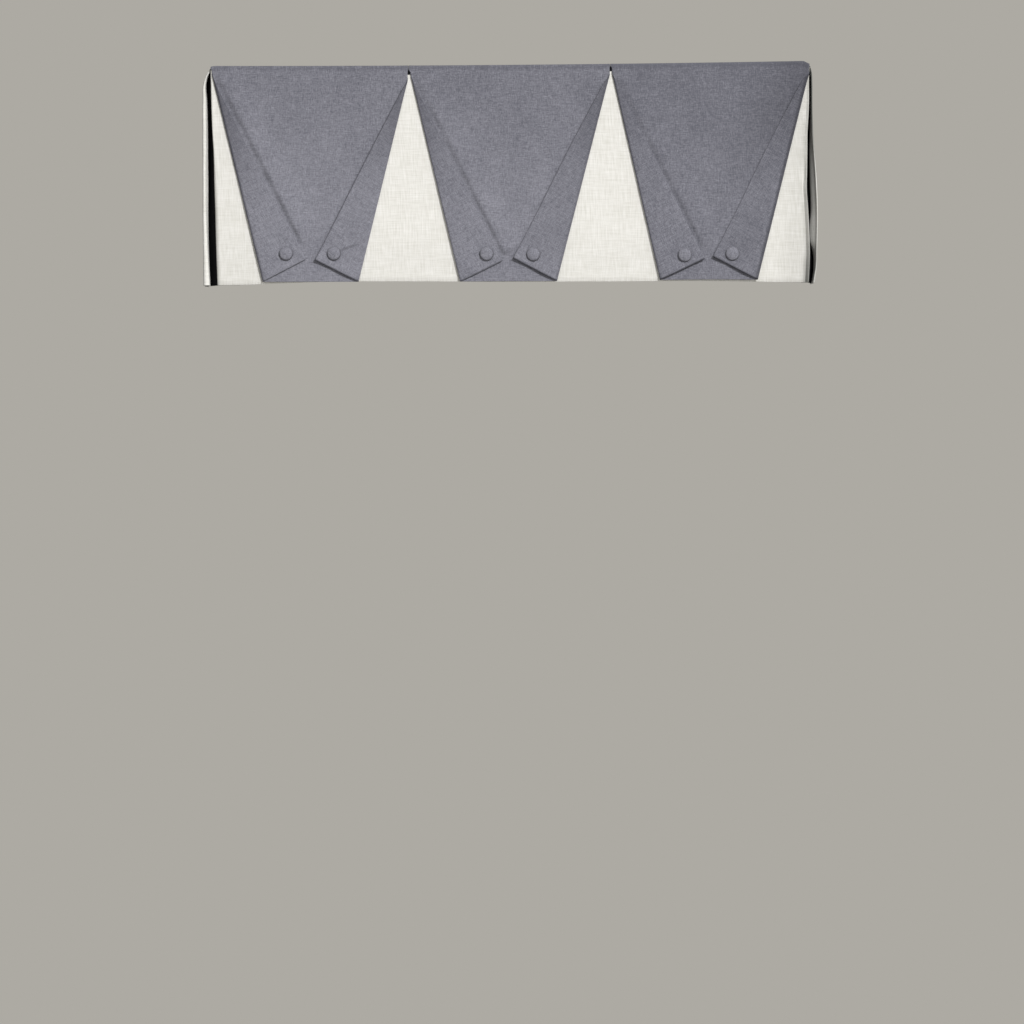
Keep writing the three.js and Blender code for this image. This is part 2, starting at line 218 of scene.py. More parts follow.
spread = waves(*np.meshgrid(np.arange(0, 900, 10.0), np.arange(0, 900, 10.0)), 60, 1)
print(f"waves spread by {spread.std():.2f} round {spread.mean():.2f}")

# %% [markdown]
# ## From a grid of points to a sheet with two faces
#
# Each cloth is first a grid of points on its middle surface, with the place of each point on
# the flat cloth kept beside it. Blender's Solidify modifier could thicken that, but it would
# leave square edges and lose count where a grid runs out to a point. Here the two faces are
# made directly. The edge between them is rounded, as a pressed edge is, and points that fall
# together are welded first.

# %% Welding a grid, and its faces
WELD = 1000
EDGE_ROUNDS = 3
EDGE_BULGE = 0.42
TINY = 1e-9


def welded(points):
    """One number for each place in a grid, and the first grid point at each number."""
    keys = np.round(points.reshape(-1, 3) * WELD).astype(np.int64)
    _, first, numbers = np.unique(keys, axis=0, return_index=True, return_inverse=True)
    return numbers.reshape(points.shape[:2]), first


def faces_of(numbers):
    """The faces of a grid, with three or four corners each and none that is closed up."""
    corners = (numbers[:-1, :-1], numbers[1:, :-1], numbers[1:, 1:], numbers[:-1, 1:])
    faces = []
    for face in np.stack(corners, axis=-1).reshape(-1, 4).tolist():
        kept = [c for i, c in enumerate(face) if c != face[i - 1]]
        if len(kept) > 2 and len(set(kept)) == len(kept):
            faces.append(kept)
    return faces


def point_normals(places, faces):
    """The normal at each place, from all the faces round it."""
    fans = [(f[0], f[i], f[i + 1]) for f in faces for i in range(1, len(f) - 1)]
    a, b, c = (places[list(k)] for k in zip(*fans))
    across = np.cross(b - a, c - a)
    normals = np.zeros_like(places)
    for k in zip(*fans):
        np.add.at(normals, list(k), across)
    return normals / np.maximum(np.linalg.norm(normals, axis=1, keepdims=True), TINY)


def open_edges(faces):
    """The edges with a face on one side only, each in the direction of its face."""
    edges = {(f[i - 1], f[i]) for f in faces for i in range(len(f))}
    return [edge for edge in sorted(edges) if edge[::-1] not in edges]


print("open edges of one face with four corners:", open_edges([[0, 1, 2, 3]]))

# %% Making the mesh of a piece
FRONT = 1 / MM


def placed(name, data):
    """An object in the scene."""
    made = bpy.data.objects.new(name, data)
    bpy.context.scene.collection.objects.link(made)
    return made


def mesh_object(name, points, faces, flat, shade):
    """A Blender object of a piece, smooth, with its place on the flat cloth and the painted shade
    at each point. The third number of a place is FRONT on the front and 0 at the back, so that
    the two faces don't show the same streaks."""
    mesh = bpy.data.meshes.new(name)
    mesh.from_pydata((np.asarray(points) * MM).tolist(), [], faces)
    mesh.polygons.foreach_set("use_smooth", [True] * len(faces))
    cloth = mesh.attributes.new("cloth", "FLOAT_VECTOR", "POINT")
    cloth.data.foreach_set("vector", (np.asarray(flat) * MM).ravel())
    dark = mesh.attributes.new("shade", "FLOAT", "POINT")
    dark.data.foreach_set("value", np.broadcast_to(shade, len(points)).astype(float))
    print(f"{name}: {len(points)} points, {sum(len(f) - 2 for f in faces)} triangles")
    return placed(name, mesh)

# %% A sheet round a grid
def outward_at(places, normals, edges):
    """Which way is out of the sheet, at each point of its open edges."""
    outward = np.zeros_like(places)
    for start, end in edges:
        side = np.cross(places[end] - places[start], normals[start] + normals[end])
        side /= max(np.linalg.norm(side), TINY)
        outward[start] += side
        outward[end] += side
    return outward / np.maximum(np.linalg.norm(outward, axis=1, keepdims=True), TINY)


def edge_faces(edges, rim, count):
    """The faces of the rounded edge, from the front face round to the back."""
    after = 2 * count + EDGE_ROUNDS * len(rim)
    rings = {k: range(2 * count + i, after, len(rim)) for i, k in enumerate(rim)}
    faces = []
    for start, end in edges:
        one, two = ([k, *rings[k], count + k] for k in (start, end))
        faces += [[two[i], one[i], one[i + 1], two[i + 1]] for i in range(EDGE_ROUNDS + 1)]
    return faces


def sheet_of(name, points, flat, thickness, backing=0, shade=0):
    """A closed sheet round a grid of points. backing is what lies behind the cloth, such as
    a hem that is turned up, as a thickness at each grid point, and shade is the painted shade,
    how dark the cloth is made to look there."""
    numbers, first = welded(points)
    places, at = points.reshape(-1, 3)[first], flat.reshape(-1, 2)[first]
    thickness, backing, dark = (
        np.broadcast_to(value, points.shape[:2]).ravel()[first]
        for value in (thickness, backing, shade)
    )
    half = thickness[:, None] / 2
    behind = backing[:, None] + half
    faces = faces_of(numbers)
    normals = point_normals(places, faces)
    edges = open_edges(faces)
    outward = outward_at(places, normals, edges)
    bulge = EDGE_BULGE * 2 * half
    middle = places - outward * bulge

    layers = [middle + normals * half, middle - normals * behind]
    rim = sorted({k for edge in edges for k in edge})
    for step in range(1, EDGE_ROUNDS + 1):
        turn = math.pi * step / (EDGE_ROUNDS + 1)
        side = half if turn < math.pi / 2 else behind
        ring = middle + outward * bulge * math.sin(turn) + normals * side * math.cos(turn)
        layers.append(ring[rim])

    count = len(places)
    back_faces = [[count + k for k in reversed(face)] for face in faces]
    front = np.column_stack([at, np.full(count, FRONT)])
    back = np.column_stack([at, np.zeros(count)])
    return mesh_object(
        name,
        np.concatenate(layers),
        [*faces, *back_faces, *edge_faces(edges, rim, count)],
        np.concatenate([front, back, *[front[rim]] * EDGE_ROUNDS]),
        np.concatenate([dark, dark, *[dark[rim]] * EDGE_ROUNDS]),
    )


print(f"each edge is rounded in {EDGE_ROUNDS + 1} steps")

# %% What a sheet was cut from
def paired(across, down):
    """Places on the flat cloth."""
    return np.stack(np.broadcast_arrays(across, down), axis=-1)


def as_cloth(made):
    """The sheet, as it is made."""
    return made


# %% The way over the front edge
EDGE_SUPPORT = 0.8


def over_the_edge(radius, reach, straight_steps, bend_steps):
    """The way of a heading from its raw edge, over the front edge, to the start of the drop:
    y, z, and the place down the flat cloth, which is 0 level with the top."""
    arc = radius * math.pi / 2
    back = np.linspace(0, 1, straight_steps, endpoint=False)
    turn = np.linspace(0, math.pi / 2, bend_steps + 1)
    y = np.concatenate([BEND_Y + reach * (1 - back), BEND_Y - radius * np.sin(turn)])
    z = np.concatenate([np.full_like(back, BEND_Z + radius), BEND_Z + radius * np.cos(turn)])
    v = np.concatenate([-BEND_Z - arc - reach * (1 - back), -BEND_Z - arc + radius * turn])
    return y[:, None], z[:, None], v[:, None]


def rows_down(step):
    """How far down the rows of a hanging cloth lie, the last but one close to the hem, which
    keeps it crisp."""
    down = np.linspace(-BEND_Z, DROP - EDGE_SUPPORT, round(DROP / step))[1:]
    return np.append(down, DROP)[:, None]


print(f"the drop starts {rows_down(1)[0, 0]:.1f} mm below the top")

# %% [markdown]
# ## The folded panels
#
# A panel is one straight piece of linen, lined with itself. Below its top corners each side
# is folded back on a slanted line. The cloth past that line turns over and lies on the
# panel, so its side edge now slants the other way at twice the angle, and its hem runs up
# from the fold. A drawing of the folded outline could be extruded, but the weave would then
# run upright on the flaps. Folding a flat cloth by formula turns the threads with the flap,
# and the fold becomes a true roll.

# %% The flaps' own sizes
# Each table has one row for each flap, from the left, and its names say what the columns are.
FOLD_RADIUS = 1.4
NOTCH_DROP = 6
PANEL_STEP = 3.0
FLAP_COLUMNS = 34
ROLL_COLUMNS = 8
BOW_DOWN = (60, 150, 400)
SAG_FROM = 250

FLAP_NAMES = ("inward", "start", "inset", "notch", "notch_top", "trim")
FLAP_ROWS = [
    (1, 8, 109.8, 2.8, 4, 5.0),
    (-1, 24, 105.5, 1.0, 9, -0.8),
    (1, 11, 107.0, 4.4, 9, 3.8),
    (-1, 16, 113.1, 1.0, 4, 4.7),
    (1, 10, 103.4, 3.4, 4, -3.7),
    (-1, 16, 110.6, 1.0, 4, 0.1),
]
LIE_NAMES = ("wide", "sag", "puff", "lift", "edge_lift", "hollow", "low_hollow", "fade")
LIE_ROWS = [
    (-2.5, 0.0, 1.2, 1.0, -1.0, 5.2, 4.2, 40),
    (2.2, 1.8, 0.9, 5.0, 1.6, 0, 0, 0),
    (-1.0, 2.6, 1.2, 2.6, -1.0, 2.8, 4.6, 8),
    (4.0, 2.4, 0.9, 5.4, -0.2, 0, 0, 0),
    (0.0, 3.4, 1.2, 5.5, -1.0, 2.0, 3.6, 24),
    (6.0, 3.2, 0.9, 5.4, -0.9, 0, 0, 0),
]
# Painted shade of each flap: along the fold and how wide, at the free edge, at the hem, near the
# top and low down.
SHADE_NAMES = ("fold", "fold_wide", "edge", "hem", "top", "low")
SHADE_ROWS = [
    (0.62, 4.4, 0.0, 0.25, 0.45, 0.0),
    (0.05, 3.0, 0.45, 0.8, 0.4, 0.03),
    (0.3, 2.6, 0.05, 0.6, 0.28, 0.0),
    (0.25, 6.0, 0.2, 0.92, 0.33, 0.08),
    (0.5, 3.2, 0.0, 0.95, 0.14, 0.0),
    (0.58, 7.5, 0.0, 0.97, 0.36, 0.1),
]
ROWS = zip(FLAP_ROWS, LIE_ROWS, SHADE_ROWS)
FLAPS = [dict(zip(FLAP_NAMES + LIE_NAMES + SHADE_NAMES, a + b + c)) for a, b, c in ROWS]
for i, flap in enumerate(FLAPS):
    low, high = PANEL_BOXES[SIDES[i // 2]]
    flap["side"] = low[0] if flap["inward"] > 0 else high[0]
    button_low, button_high = box_of(f"button_{i + 1}")
    flap["button"] = (button_low + button_high) / 2
    flap["slant"] = math.atan2(flap["inset"], DROP - flap["start"])
    flap["full"] = (DROP - flap["start"]) * math.sin(flap["slant"])
    flap["narrow"] = 1 - flap["trim"] / flap["full"]
print("slants in degrees:", [round(math.degrees(flap["slant"]), 1) for flap in FLAPS])


# %% Folding one side back
def side_at(flap, down):
    """Where the panel's side lies: straight, but for a small notch above the fold."""
    notch = smooth(down, flap["notch_top"], flap["notch_top"] + NOTCH_DROP)
    return flap["side"] + flap["inward"] * flap["notch"] * notch


def width_past(flap, down):
    """How wide the cloth past the fold line is on a row, square to the fold."""
    return np.maximum(0, down - flap["start"]) * math.sin(flap["slant"])


def flap_width(flap, down):
    """How wide the flap's cloth is there: its side was trimmed by hand, and not quite
    straight."""
    bow = band(down, flap["start"], *BOW_DOWN)
    return width_past(flap, down) * flap["narrow"] + flap["wide"] * bow


def fold_at(flap, down):
    """Where the fold line crosses a row."""
    along = width_past(flap, down) / math.cos(flap["slant"])
    return side_at(flap, down) + flap["inward"] * along


def folded_back(flap, down, past):
    """Where cloth at a distance past the fold line lies once it is rolled round the fold and
    laid back: x, z, its rise off the panel, and its distance out from the roll."""
    slant = flap["slant"]
    roll = np.minimum(flap_width(flap, down), math.pi * FOLD_RADIUS)
    turn = np.minimum(past, roll) / FOLD_RADIUS
    out = np.maximum(0, past - roll)
    run = np.maximum(0, down - flap["start"]) / math.cos(slant) - past * math.tan(slant)
    from_fold = out - FOLD_RADIUS * np.sin(turn)
    from_side = run * math.sin(slant) + from_fold * math.cos(slant)
    x = side_at(flap, down) + flap["inward"] * from_side
    z = from_fold * math.sin(slant) - run * math.cos(slant)
    sag = flap["sag"] * np.sqrt(out / flap["full"]) * smooth(down, SAG_FROM, DROP)
    z = z - sag - np.minimum(down, flap["start"])
    return x, z, FOLD_RADIUS * (1 - np.cos(turn)), out


def flap_columns(flap, down):
    """How far past the fold line each column of a flap lies, from its free edge to the
    fold, with one column close to the edge to keep it crisp."""
    width = flap_width(flap, down)
    roll = np.minimum(width, math.pi * FOLD_RADIUS)
    flat = width - roll
    support = np.minimum(EDGE_SUPPORT, flat / 2)
    share = np.linspace(1, 0, FLAP_COLUMNS)
    laid = np.concatenate([flat, (flat - support) * share[None, :]], axis=1)
    rolled = roll * np.linspace(1, 0, ROLL_COLUMNS, endpoint=False)[None, :]
    return np.concatenate([laid[:, :-1] + roll, rolled], axis=1)


start_x, start_z, _, _ = folded_back(FLAPS[0], DROP, width_past(FLAPS[0], DROP))
print(f"inner corner of the first flap at x {start_x:.1f}, z {start_z:.1f} mm")

# %% [markdown]
# ## How a flap lies
#
# A flap isn't pasted flat. It stands off a little where the fold springs open, its button
# pulls it down in a dimple with faint creases round it, and its inner corner lifts. The free
# edges lie down on the panel, but for the second flap's, which stands up. Beside each left
# flap the panel has a soft hollow along that edge, which is why a soft dark band follows it.
# One crease is pressed into the second flap, from its button up towards the fold. All of it
# could be left to a bump in the finish, but then no outline and no shadow would follow it.

# %% The soft shape of the panels
LEAN = 1.8
BOW = 1.6
RIPPLE = 0.55
RIPPLE_WAVES = (75, 11)
RIPPLE_STRETCH = 0.6
FINE_RIPPLE = 0.16
FINE_WAVES = (22, 12)
HOLLOW_START = 0.2
HOLLOW_RISE = 5.5
HOLLOW_END = 60
HOLLOW_FROM = (8, 45)
HOLLOW_LAST = 12
HOLLOW_UNEVEN = 0.3
HOLLOW_WAVES = (26, 17)
PITCH = (PANEL_BOXES["right"][1][0] + HALF) / len(SIDES)


def panel_face(x, z):
    """How far the front of the panels stands out: a lean and a bow that grow down the drop,
    and slow waves."""
    down = np.clip(-z / DROP, 0, 1)
    across = (x + HALF) / PITCH
    bow = np.sin(math.pi * (across - np.floor(across))) ** 2
    ripple = RIPPLE * waves(x, z * RIPPLE_STRETCH, *RIPPLE_WAVES)
    ripple = ripple + FINE_RIPPLE * waves(x, z, *FINE_WAVES)
    return PANEL_Y - (LEAN + BOW * bow + ripple) * down


def beside_flap(flap, x, z):
    """How far the panel bulges beside a left flap. It lies low at the flap's free edge and
    rises within a finger's width, which leaves a soft hollow along the edge."""
    slant = 2 * flap["slant"] - flap["trim"] / DROP
    along_x = flap["inward"] * (x - flap["side"] - flap["inward"] * flap["notch"])
    down = -z - flap["start"]
    beyond = along_x * math.cos(slant) - down * math.sin(slant)
    run = along_x * math.sin(slant) + down * math.cos(slant)
    share = np.clip(run / DROP, 0, 1)
    end = DROP - flap["start"]
    fade = (end - flap["fade"] - HOLLOW_LAST, end - flap["fade"] / 2)
    height = flap["hollow"] * (1 - share) + flap["low_hollow"] * share
    height = height * (1 + HOLLOW_UNEVEN * waves(run, 0 * run, *HOLLOW_WAVES))
    height = height * band(run, *HOLLOW_FROM, *fade)
    risen = HOLLOW_START + HOLLOW_RISE
    return height * band(beyond, HOLLOW_START, risen, risen, HOLLOW_END)


print(f"each panel is {PITCH:.0f} mm wide and bows {BOW} mm")

# %% The pressed crease
TUCK_FLAP = 1
TUCK_START = (-357, -392)
TUCK_END = (-313, -376)
TUCK_SOFT = 6
TUCK_TAPER = 16
TUCK_WIDE = 3.0
TUCK_HEIGHT = 1.7
TUCK_HOLLOW = 0.6


def along_tuck(x, z):
    """How far points lie aside of the pressed crease, and how much of it reaches them."""
    start, end = np.array(TUCK_START), np.array(TUCK_END)
    length = np.linalg.norm(end - start)
    along = (end - start) / length
    run = (x - start[0]) * along[0] + (z - start[1]) * along[1]
    aside = (z - start[1]) * along[0] - (x - start[0]) * along[1]
    return aside, band(run, -TUCK_SOFT, TUCK_SOFT, length - TUCK_TAPER, length)


def tuck(x, z):
    """The height of that crease: a rise with a hollow under it."""
    aside, reach = along_tuck(x, z)
    rise = bell(aside - TUCK_WIDE / 2, TUCK_WIDE)
    hollow = TUCK_HOLLOW * bell(aside + TUCK_WIDE / 2, TUCK_WIDE)
    return TUCK_HEIGHT * (rise - hollow) * reach


print(f"the crease runs for {math.dist(TUCK_START, TUCK_END):.0f} mm")

# %% How far a flap stands off
SOFTEN = 16
PRESS = 22 * math.sqrt(2)
CORNER_SPREAD = 20 * math.sqrt(2)
CORNER_SHARE = 0.3
HEM_REACH = 20
EDGE_REACH = 8
EDGE_FROM = (40, 120)
CREASES = 7
CREASE_HEIGHT = 0.35
CREASE_REACH = 26


def stand_off(flap, number, u, down, out, x, z):
    """How far a flap's cloth stands off the panel. u is the distance from its free edge."""
    button_x, _, button_z = flap["button"]
    to_button = np.hypot(x - button_x, z - button_z)
    round_button = np.arctan2(z - button_z, x - button_x)
    free = 1 - bell(to_button, PRESS)
    soft = 1 - np.exp(-out / SOFTEN)
    corner = bell(np.hypot(u, DROP - down), CORNER_SPREAD)
    hem = bell(DROP - down, HEM_REACH) * soft
    edge = bell(u, EDGE_REACH) * soft * smooth(down, *EDGE_FROM)
    crease = np.maximum(0, np.cos(CREASES * round_button + number)) ** 3
    crease = crease * np.exp(-to_button / CREASE_REACH) * soft
    lifted = CORNER_SHARE * corner + (1 - CORNER_SHARE) * hem
    height = flap["puff"] * soft + flap["lift"] * lifted + flap["edge_lift"] * edge
    pressed = tuck(x, z) if number == TUCK_FLAP else 0
    return (height + CREASE_HEIGHT * crease) * free + pressed


highest = max(flap["lift"] for flap in FLAPS)
print(f"the inner corners lift by up to {highest} mm")

# %% [markdown]
# ## Shade that is finer than the mesh
#
# Where a cloth is pressed into a fold, cut off at an edge or laid on another cloth, it turns
# away from the light within the width of a thread. That is finer than a mesh of this size
# can carry. So each piece also has one number at each point for how dark the cloth looks
# there, and its finish mixes in that much shade. A part of it stands for the light of a real
# room, which falls off towards one end: the last panel is dimmer beside its right flap, and
# so are the ends of the contrast cloth.

# %% Shade along the folds, edges and hems
ON_FLAP = (1.0, 2.2)
FOLD_FULL = 2.5
FOLD_END = 4
FOLD_FULL_SHARE = 0.4
EDGE_BAND = 1.3
HEM_BAND = 2.1
TOP_FADE = (20, 340)
LOW_FROM = (200, 320)
TUCK_DARK = 0.36
TUCK_LINE = 2.2
FAR_DARK = 0.31
FAR_REACH = (10, 130)
FAR_FADE = (60, 330)


def together(*shades):
    """Several shades over each other."""
    left = 1
    for shade in shades:
        left = left * (1 - shade)
    return 1 - left


def flap_shade(flap, down, past, from_edge):
    """Painted shade on a flap: along its fold, its free edge and its hem, as a whole near the top,
    where it lies in the shade of the fold, and low down on some flaps."""
    wide = flap["fold_wide"]
    fold_fall = 1 - smooth(past, FOLD_FULL + FOLD_FULL_SHARE * wide, FOLD_END + wide)
    whole = flap["top"] * (1 - smooth(down, *TOP_FADE)) + flap["low"] * smooth(down, *LOW_FROM)
    edge = flap["edge"] * bell(from_edge, EDGE_BAND)
    hem = flap["hem"] * bell(DROP - down, HEM_BAND)
    on_flap = smooth(past, *ON_FLAP)
    return together(*(part * on_flap for part in (flap["fold"] * fold_fall, edge, hem, whole)))


def tuck_shade(x, z):
    """Painted shade along the bottom of the pressed crease."""
    aside, reach = along_tuck(x, z)
    return TUCK_DARK * reach * bell(aside, TUCK_LINE)


def far_shade(flap, x, down):
    """How dark a panel looks beside its right flap: only the last one, which lies furthest
    from the light, and most near its top."""
    free_edge = flap["side"] - np.maximum(0, down - flap["start"]) * math.tan(2 * flap["slant"])
    beside = 1 - smooth(free_edge - x, *FAR_REACH)
    return (FAR_DARK if flap is FLAPS[-1] else 0) * beside * (1 - smooth(down, *FAR_FADE))


deepest = max(flap["fold"] for flap in FLAPS)
print(f"the darkest fold loses {deepest:.0%} of its light")

# %% The parts of a panel: its points, their places on the flat cloth, and their shade
HEM_CLEAR = 30
HEADING_STEPS = (3, 6)


def flap_part(number, down, width):
    """A flap, from its free edge to its fold, with its columns turned from left to right."""
    flap = FLAPS[number]
    past = flap_columns(flap, down)
    x, z, rise, out = folded_back(flap, down, past)
    u = (width_past(flap, down) - past) / math.cos(flap["slant"])
    from_edge = u - u[:, :1]
    points = hung("linen", x, 0, z)
    height = stand_off(flap, number, from_edge, down, out, x, points[..., 2])
    points[..., 1] = panel_face(x, z) - rise - height
    pressed = tuck_shade(x, points[..., 2]) if number == TUCK_FLAP else 0
    shade = together(flap_shade(flap, down, past, from_edge), pressed)
    flat = paired(u if flap["inward"] > 0 else width - u, down)
    return [part[:, :: flap["inward"]] for part in (points, flat, shade)]


def middle_part(left, right, down, share):
    """The panel itself, between its two folds."""
    x = fold_at(left, down) * (1 - share) + fold_at(right, down) * share
    bulge = beside_flap(left, x, -down) * smooth(-down, -DROP, HEM_CLEAR - DROP)
    points = hung("linen", x, panel_face(x, -down) - bulge, -down)
    return points, paired(x - left["side"], down), far_shade(right, x, down)


def panel_grid(number):
    """A whole panel with its two flaps and the cloth that turns over the front edge."""
    left, right = FLAPS[2 * number], FLAPS[2 * number + 1]
    width = right["side"] - left["side"]
    columns = round((width - left["inset"] - right["inset"]) / PANEL_STEP)
    share = np.linspace(0, 1, columns + 1)[None, :]
    down = rows_down(PANEL_STEP)
    flaps = [flap_part(2 * number + i, down, width) for i in (0, 1)]
    parts = zip(flaps[0], middle_part(left, right, down, share), flaps[1])
    drop = [np.concatenate(across, axis=1) for across in parts]

    y, z, v = over_the_edge(PANEL_BEND, PANEL_REACH, *HEADING_STEPS)
    spare = flaps[0][0].shape[1]
    x = left["side"] + width * np.pad(share[0], spare, mode="edge")[None, :]
    heading = hung("linen", x, y, z), paired(x - left["side"], v), far_shade(right, x, 0 * v)
    return [np.concatenate(pair) for pair in zip(heading, drop)]


print(f"{len(rows_down(PANEL_STEP))} rows in the drop of a panel")

# %% [markdown]
# ## Sewn edges
#
# Each panel is sewn to its lining round the sides and the hem, and turned out. The seam
# allowance inside makes a band a finger wide a little thicker. Under raking light that band
# shows, so the sheet's thickness follows it.

# %% Making the three panels
SEAM_BAND = 11
SEAM_SOFT = 3
SEAM_SWELL = 0.16

PIECES = {}
for number, side in enumerate(SIDES):
    points, flat, shade = panel_grid(number)
    u, v = flat[..., 0], flat[..., 1]
    to_edge = np.minimum(np.minimum(u, u.max() - u), DROP - v)
    thickness = LINEN * (1 + SEAM_SWELL * (1 - smooth(to_edge, SEAM_BAND - SEAM_SOFT, SEAM_BAND)))
    made = sheet_of("linen_panel_" + side, points, flat, thickness, shade=shade)
    PIECES["panel_" + side] = as_cloth(made)

# %% [markdown]
# ## Covered buttons
#
# A covered button is a domed metal shell with a disc of cloth drawn over it and gathered
# under its rim. A squashed sphere would miss both the firm rim and the gathers. So a profile
# from the middle to the back is turned round, and its radius is rippled close to the rim,
# where the cloth is pleated under.

# %% The profile of a button
DOME_RINGS = 16
RIM_RINGS = 10
BACK_RINGS = 3
DOME_SHARE = 0.8
BACK_SHARE = 0.6
SHOULDER = 0.72
DOME_CURVE = 2.2
RIM_SLOPE = (0.18, 0.82)
RIM_WRAP = 1.72
RIM_CURVE = 1.15


def button_profile(radius, height):
    """Radius and height above the cloth, from the middle of the dome round to the back."""
    t = np.linspace(0, 1, DOME_RINGS + 1)
    dome_h = height - height * (1 - SHOULDER) * t**DOME_CURVE
    turn = np.linspace(0, 1, RIM_RINGS + 1)[1:]
    slope = math.pi * (RIM_SLOPE[0] + RIM_SLOPE[1] * turn)
    rim_r = DOME_SHARE * radius + (1 - DOME_SHARE) * radius * np.sin(slope / RIM_WRAP)
    rim_r = np.minimum(rim_r, radius)
    rim_h = height * SHOULDER * (1 - turn**RIM_CURVE)
    back = np.linspace(1, BACK_SHARE, BACK_RINGS + 1)[1:]
    r = np.concatenate([DOME_SHARE * radius * t, rim_r, rim_r[-1] * back])
    return r, np.concatenate([dome_h, rim_h, 0 * back])


print("profile of a button 30 mm wide:", len(button_profile(15, 5)[0]), "points")

# %% Making the buttons
BUTTON_SIDES = 120
GATHERS = 26
GATHER_DEPTH = 0.3
GATHER_UNEVEN = 1.7
GATHER_EASE = 0.4
NEAR_RIM = 0.72
LUMPS = 0.12
LUMP_SIZE = 7
LUMP_SEED = 30
BUTTON_SINK = 0.7
WEAVE_TURN = 0.35
CLOTH_APART = 100
RIM_SHADE = 0.33
RIM_SHADED = (0.72, 0.98)
RIM_TURN = 0.9
RIM_DARKEST = math.radians(-15)


def button_cloth(number, radius, height):
    """The cloth of a button: how far out and up each point lies, with a turn to each column."""
    r, h = (part[:, None] for part in button_profile(radius, height))
    turn = np.linspace(0, 2 * math.pi, BUTTON_SIDES + 1)[None, :]
    near_rim = smooth(r / radius, NEAR_RIM, 1.0) * (1 - GATHER_EASE * smooth(-h, -1, 0))
    pleats = np.cos(GATHERS * turn + GATHER_UNEVEN * np.sin(3 * turn + number))
    reach = r - GATHER_DEPTH * near_rim * (0.5 + 0.5 * pleats)
    lumps = LUMPS * waves(r * np.cos(turn), r * np.sin(turn), LUMP_SIZE, LUMP_SEED + number)
    out = h + lumps * smooth(h, 0, 2) - BUTTON_SINK * (h == 0)
    along = length_along(r[:, 0], h[:, 0])[:, None]
    tilt = turn + WEAVE_TURN * number
    return turn, reach, out, paired(along * np.cos(tilt), along * np.sin(tilt))


def button(number):
    """One covered button where the model has it, with its weave at an angle of its own and painted
    shade round its rim.
    """
    low, high = box_of(f"button_{number}")
    centre = (low + high) / 2
    radius = (high[2] - low[2]) / 2
    turn, reach, out, flat = button_cloth(number, radius, high[1] - low[1])
    x, y, z = centre[0] + reach * np.cos(turn), high[1] - out, centre[2] + reach * np.sin(turn)
    points = np.stack([x, y, z], axis=-1)
    points[:, -1] = points[:, 0]
    numbers, first = welded(points)
    faces = [*faces_of(numbers[:, ::-1]), numbers[-1, :-1].tolist()]
    at = flat.reshape(-1, 2)[first]
    front = np.column_stack([at + CLOTH_APART * number, np.full(len(at), FRONT)])
    places = points.reshape(-1, 3)[first]
    side, up = (places - centre)[:, ::2].T
    # Painted shade round the rim of the dome, darkest towards the right and a little below,
    # lightest on the left.
    rim = RIM_SHADE * (1 + RIM_TURN * np.cos(np.arctan2(up, side) - RIM_DARKEST))
    rim = rim * smooth(np.hypot(side, up) / radius, *RIM_SHADED)
    return mesh_object(f"covered_button_{number}", places, faces, front, rim)


for number in range(1, len(FLAPS) + 1):
    PIECES[f"button_{number}"] = button(number)

# %% [markdown]
# ## The corner pleats
#
# At each end the front and the return both turn in, and the slit between them opens and
# closes on its way down. It could be one size all the way, but a hand-sewn pleat never is.
# So each row below gives the sizes of the pleat at one drop: where the front's end and the
# return lie, how wide their rolls are, how far the return's turned-in part springs open, and
# the ridge and the crease in the front. Smooth curves run through the rows.

# %% Sizes of the corner pleats
PLEAT_NAMES = ("edge", "outer", "radius", "turn", "flare", "ridge", "crease")
LEFT_ROWS = [
    (6.5, 632, 634.4, 1, 2, 0, 0, 0),
    (10, 632, 637, 1, 2, 0, 0, 0),
    (18, 632, 641.5, 1, 2, 0, 0, 0),
    (33, 631.5, 647, 1.6, 2, 0.5, 0, 0),
    (73, 630.5, 649.3, 2.8, 2, 2, 0, 0),
    (140, 628, 649.5, 3.2, 2, 3, 0, 0),
    (180, 625.5, 649.3, 3.0, 2.6, 3, 0, 0),
    (244, 624, 649, 2.6, 4.4, 4, 0, 0),
    (310, 622, 649, 3.0, 4.5, 3, 0, 0),
    (370, 620.5, 648.2, 4.0, 4.0, 1, 0, 0),
    (457, 617.5, 647.5, 6.0, 2.6, 0, 0, 0),
]
RIGHT_ROWS = [
    (6.5, 632, 634.8, 0.5, 1.2, 0, 0, 0),
    (10, 632, 635.6, 0.5, 1.2, 0, 0, 0),
    (18, 631.5, 637.2, 0.5, 1.2, 0, 0, 0),
    (40, 631, 638.2, 0.5, 1.2, 0, 0.4, 0),
    (81, 631, 638.4, 0.5, 1.2, 1, 1.8, 0),
    (112, 630, 638.8, 0.5, 1.2, 2, 3.2, 0),
    (143, 628, 640, 0.5, 1.2, 4, 4, 0),
    (184, 627.5, 643, 0.5, 1.2, 8, 4.2, 0),
    (225, 627, 646.5, 0.5, 1.2, 11, 3.5, 0.5),
    (266, 626.5, 648.8, 0.5, 1.2, 12, 2.5, 3),
    (307, 629.5, 650.2, 0.6, 1.2, 12, 1, 5),
    (348, 631.5, 649.9, 0.6, 1.2, 15.5, 0.5, 5.5),
    (372, 632.5, 649.4, 0.6, 1.2, 14, 0.8, 5.5),
    (389, 633, 649, 0.6, 1.2, 7, 1, 5.5),
    (420, 632.5, 648.3, 0.6, 1.2, 3.5, 2, 6.5),
    (457, 630.5, 643, 0.8, 1.2, 2, 3, 7),
]
# Painted shade at each drop: how dark the front's turned-in end is and how wide that band is, and
# how dark the return's fold and its turned-in part are.
DARK_NAMES = ("end_dark", "end_wide", "fold_dark", "inside_dark")
LEFT_DARK = [(0, 0, 6, 0.25, 0), (200, 0, 6, 0.25, 0), (300, 0.35, 6, 0.25, 0)]
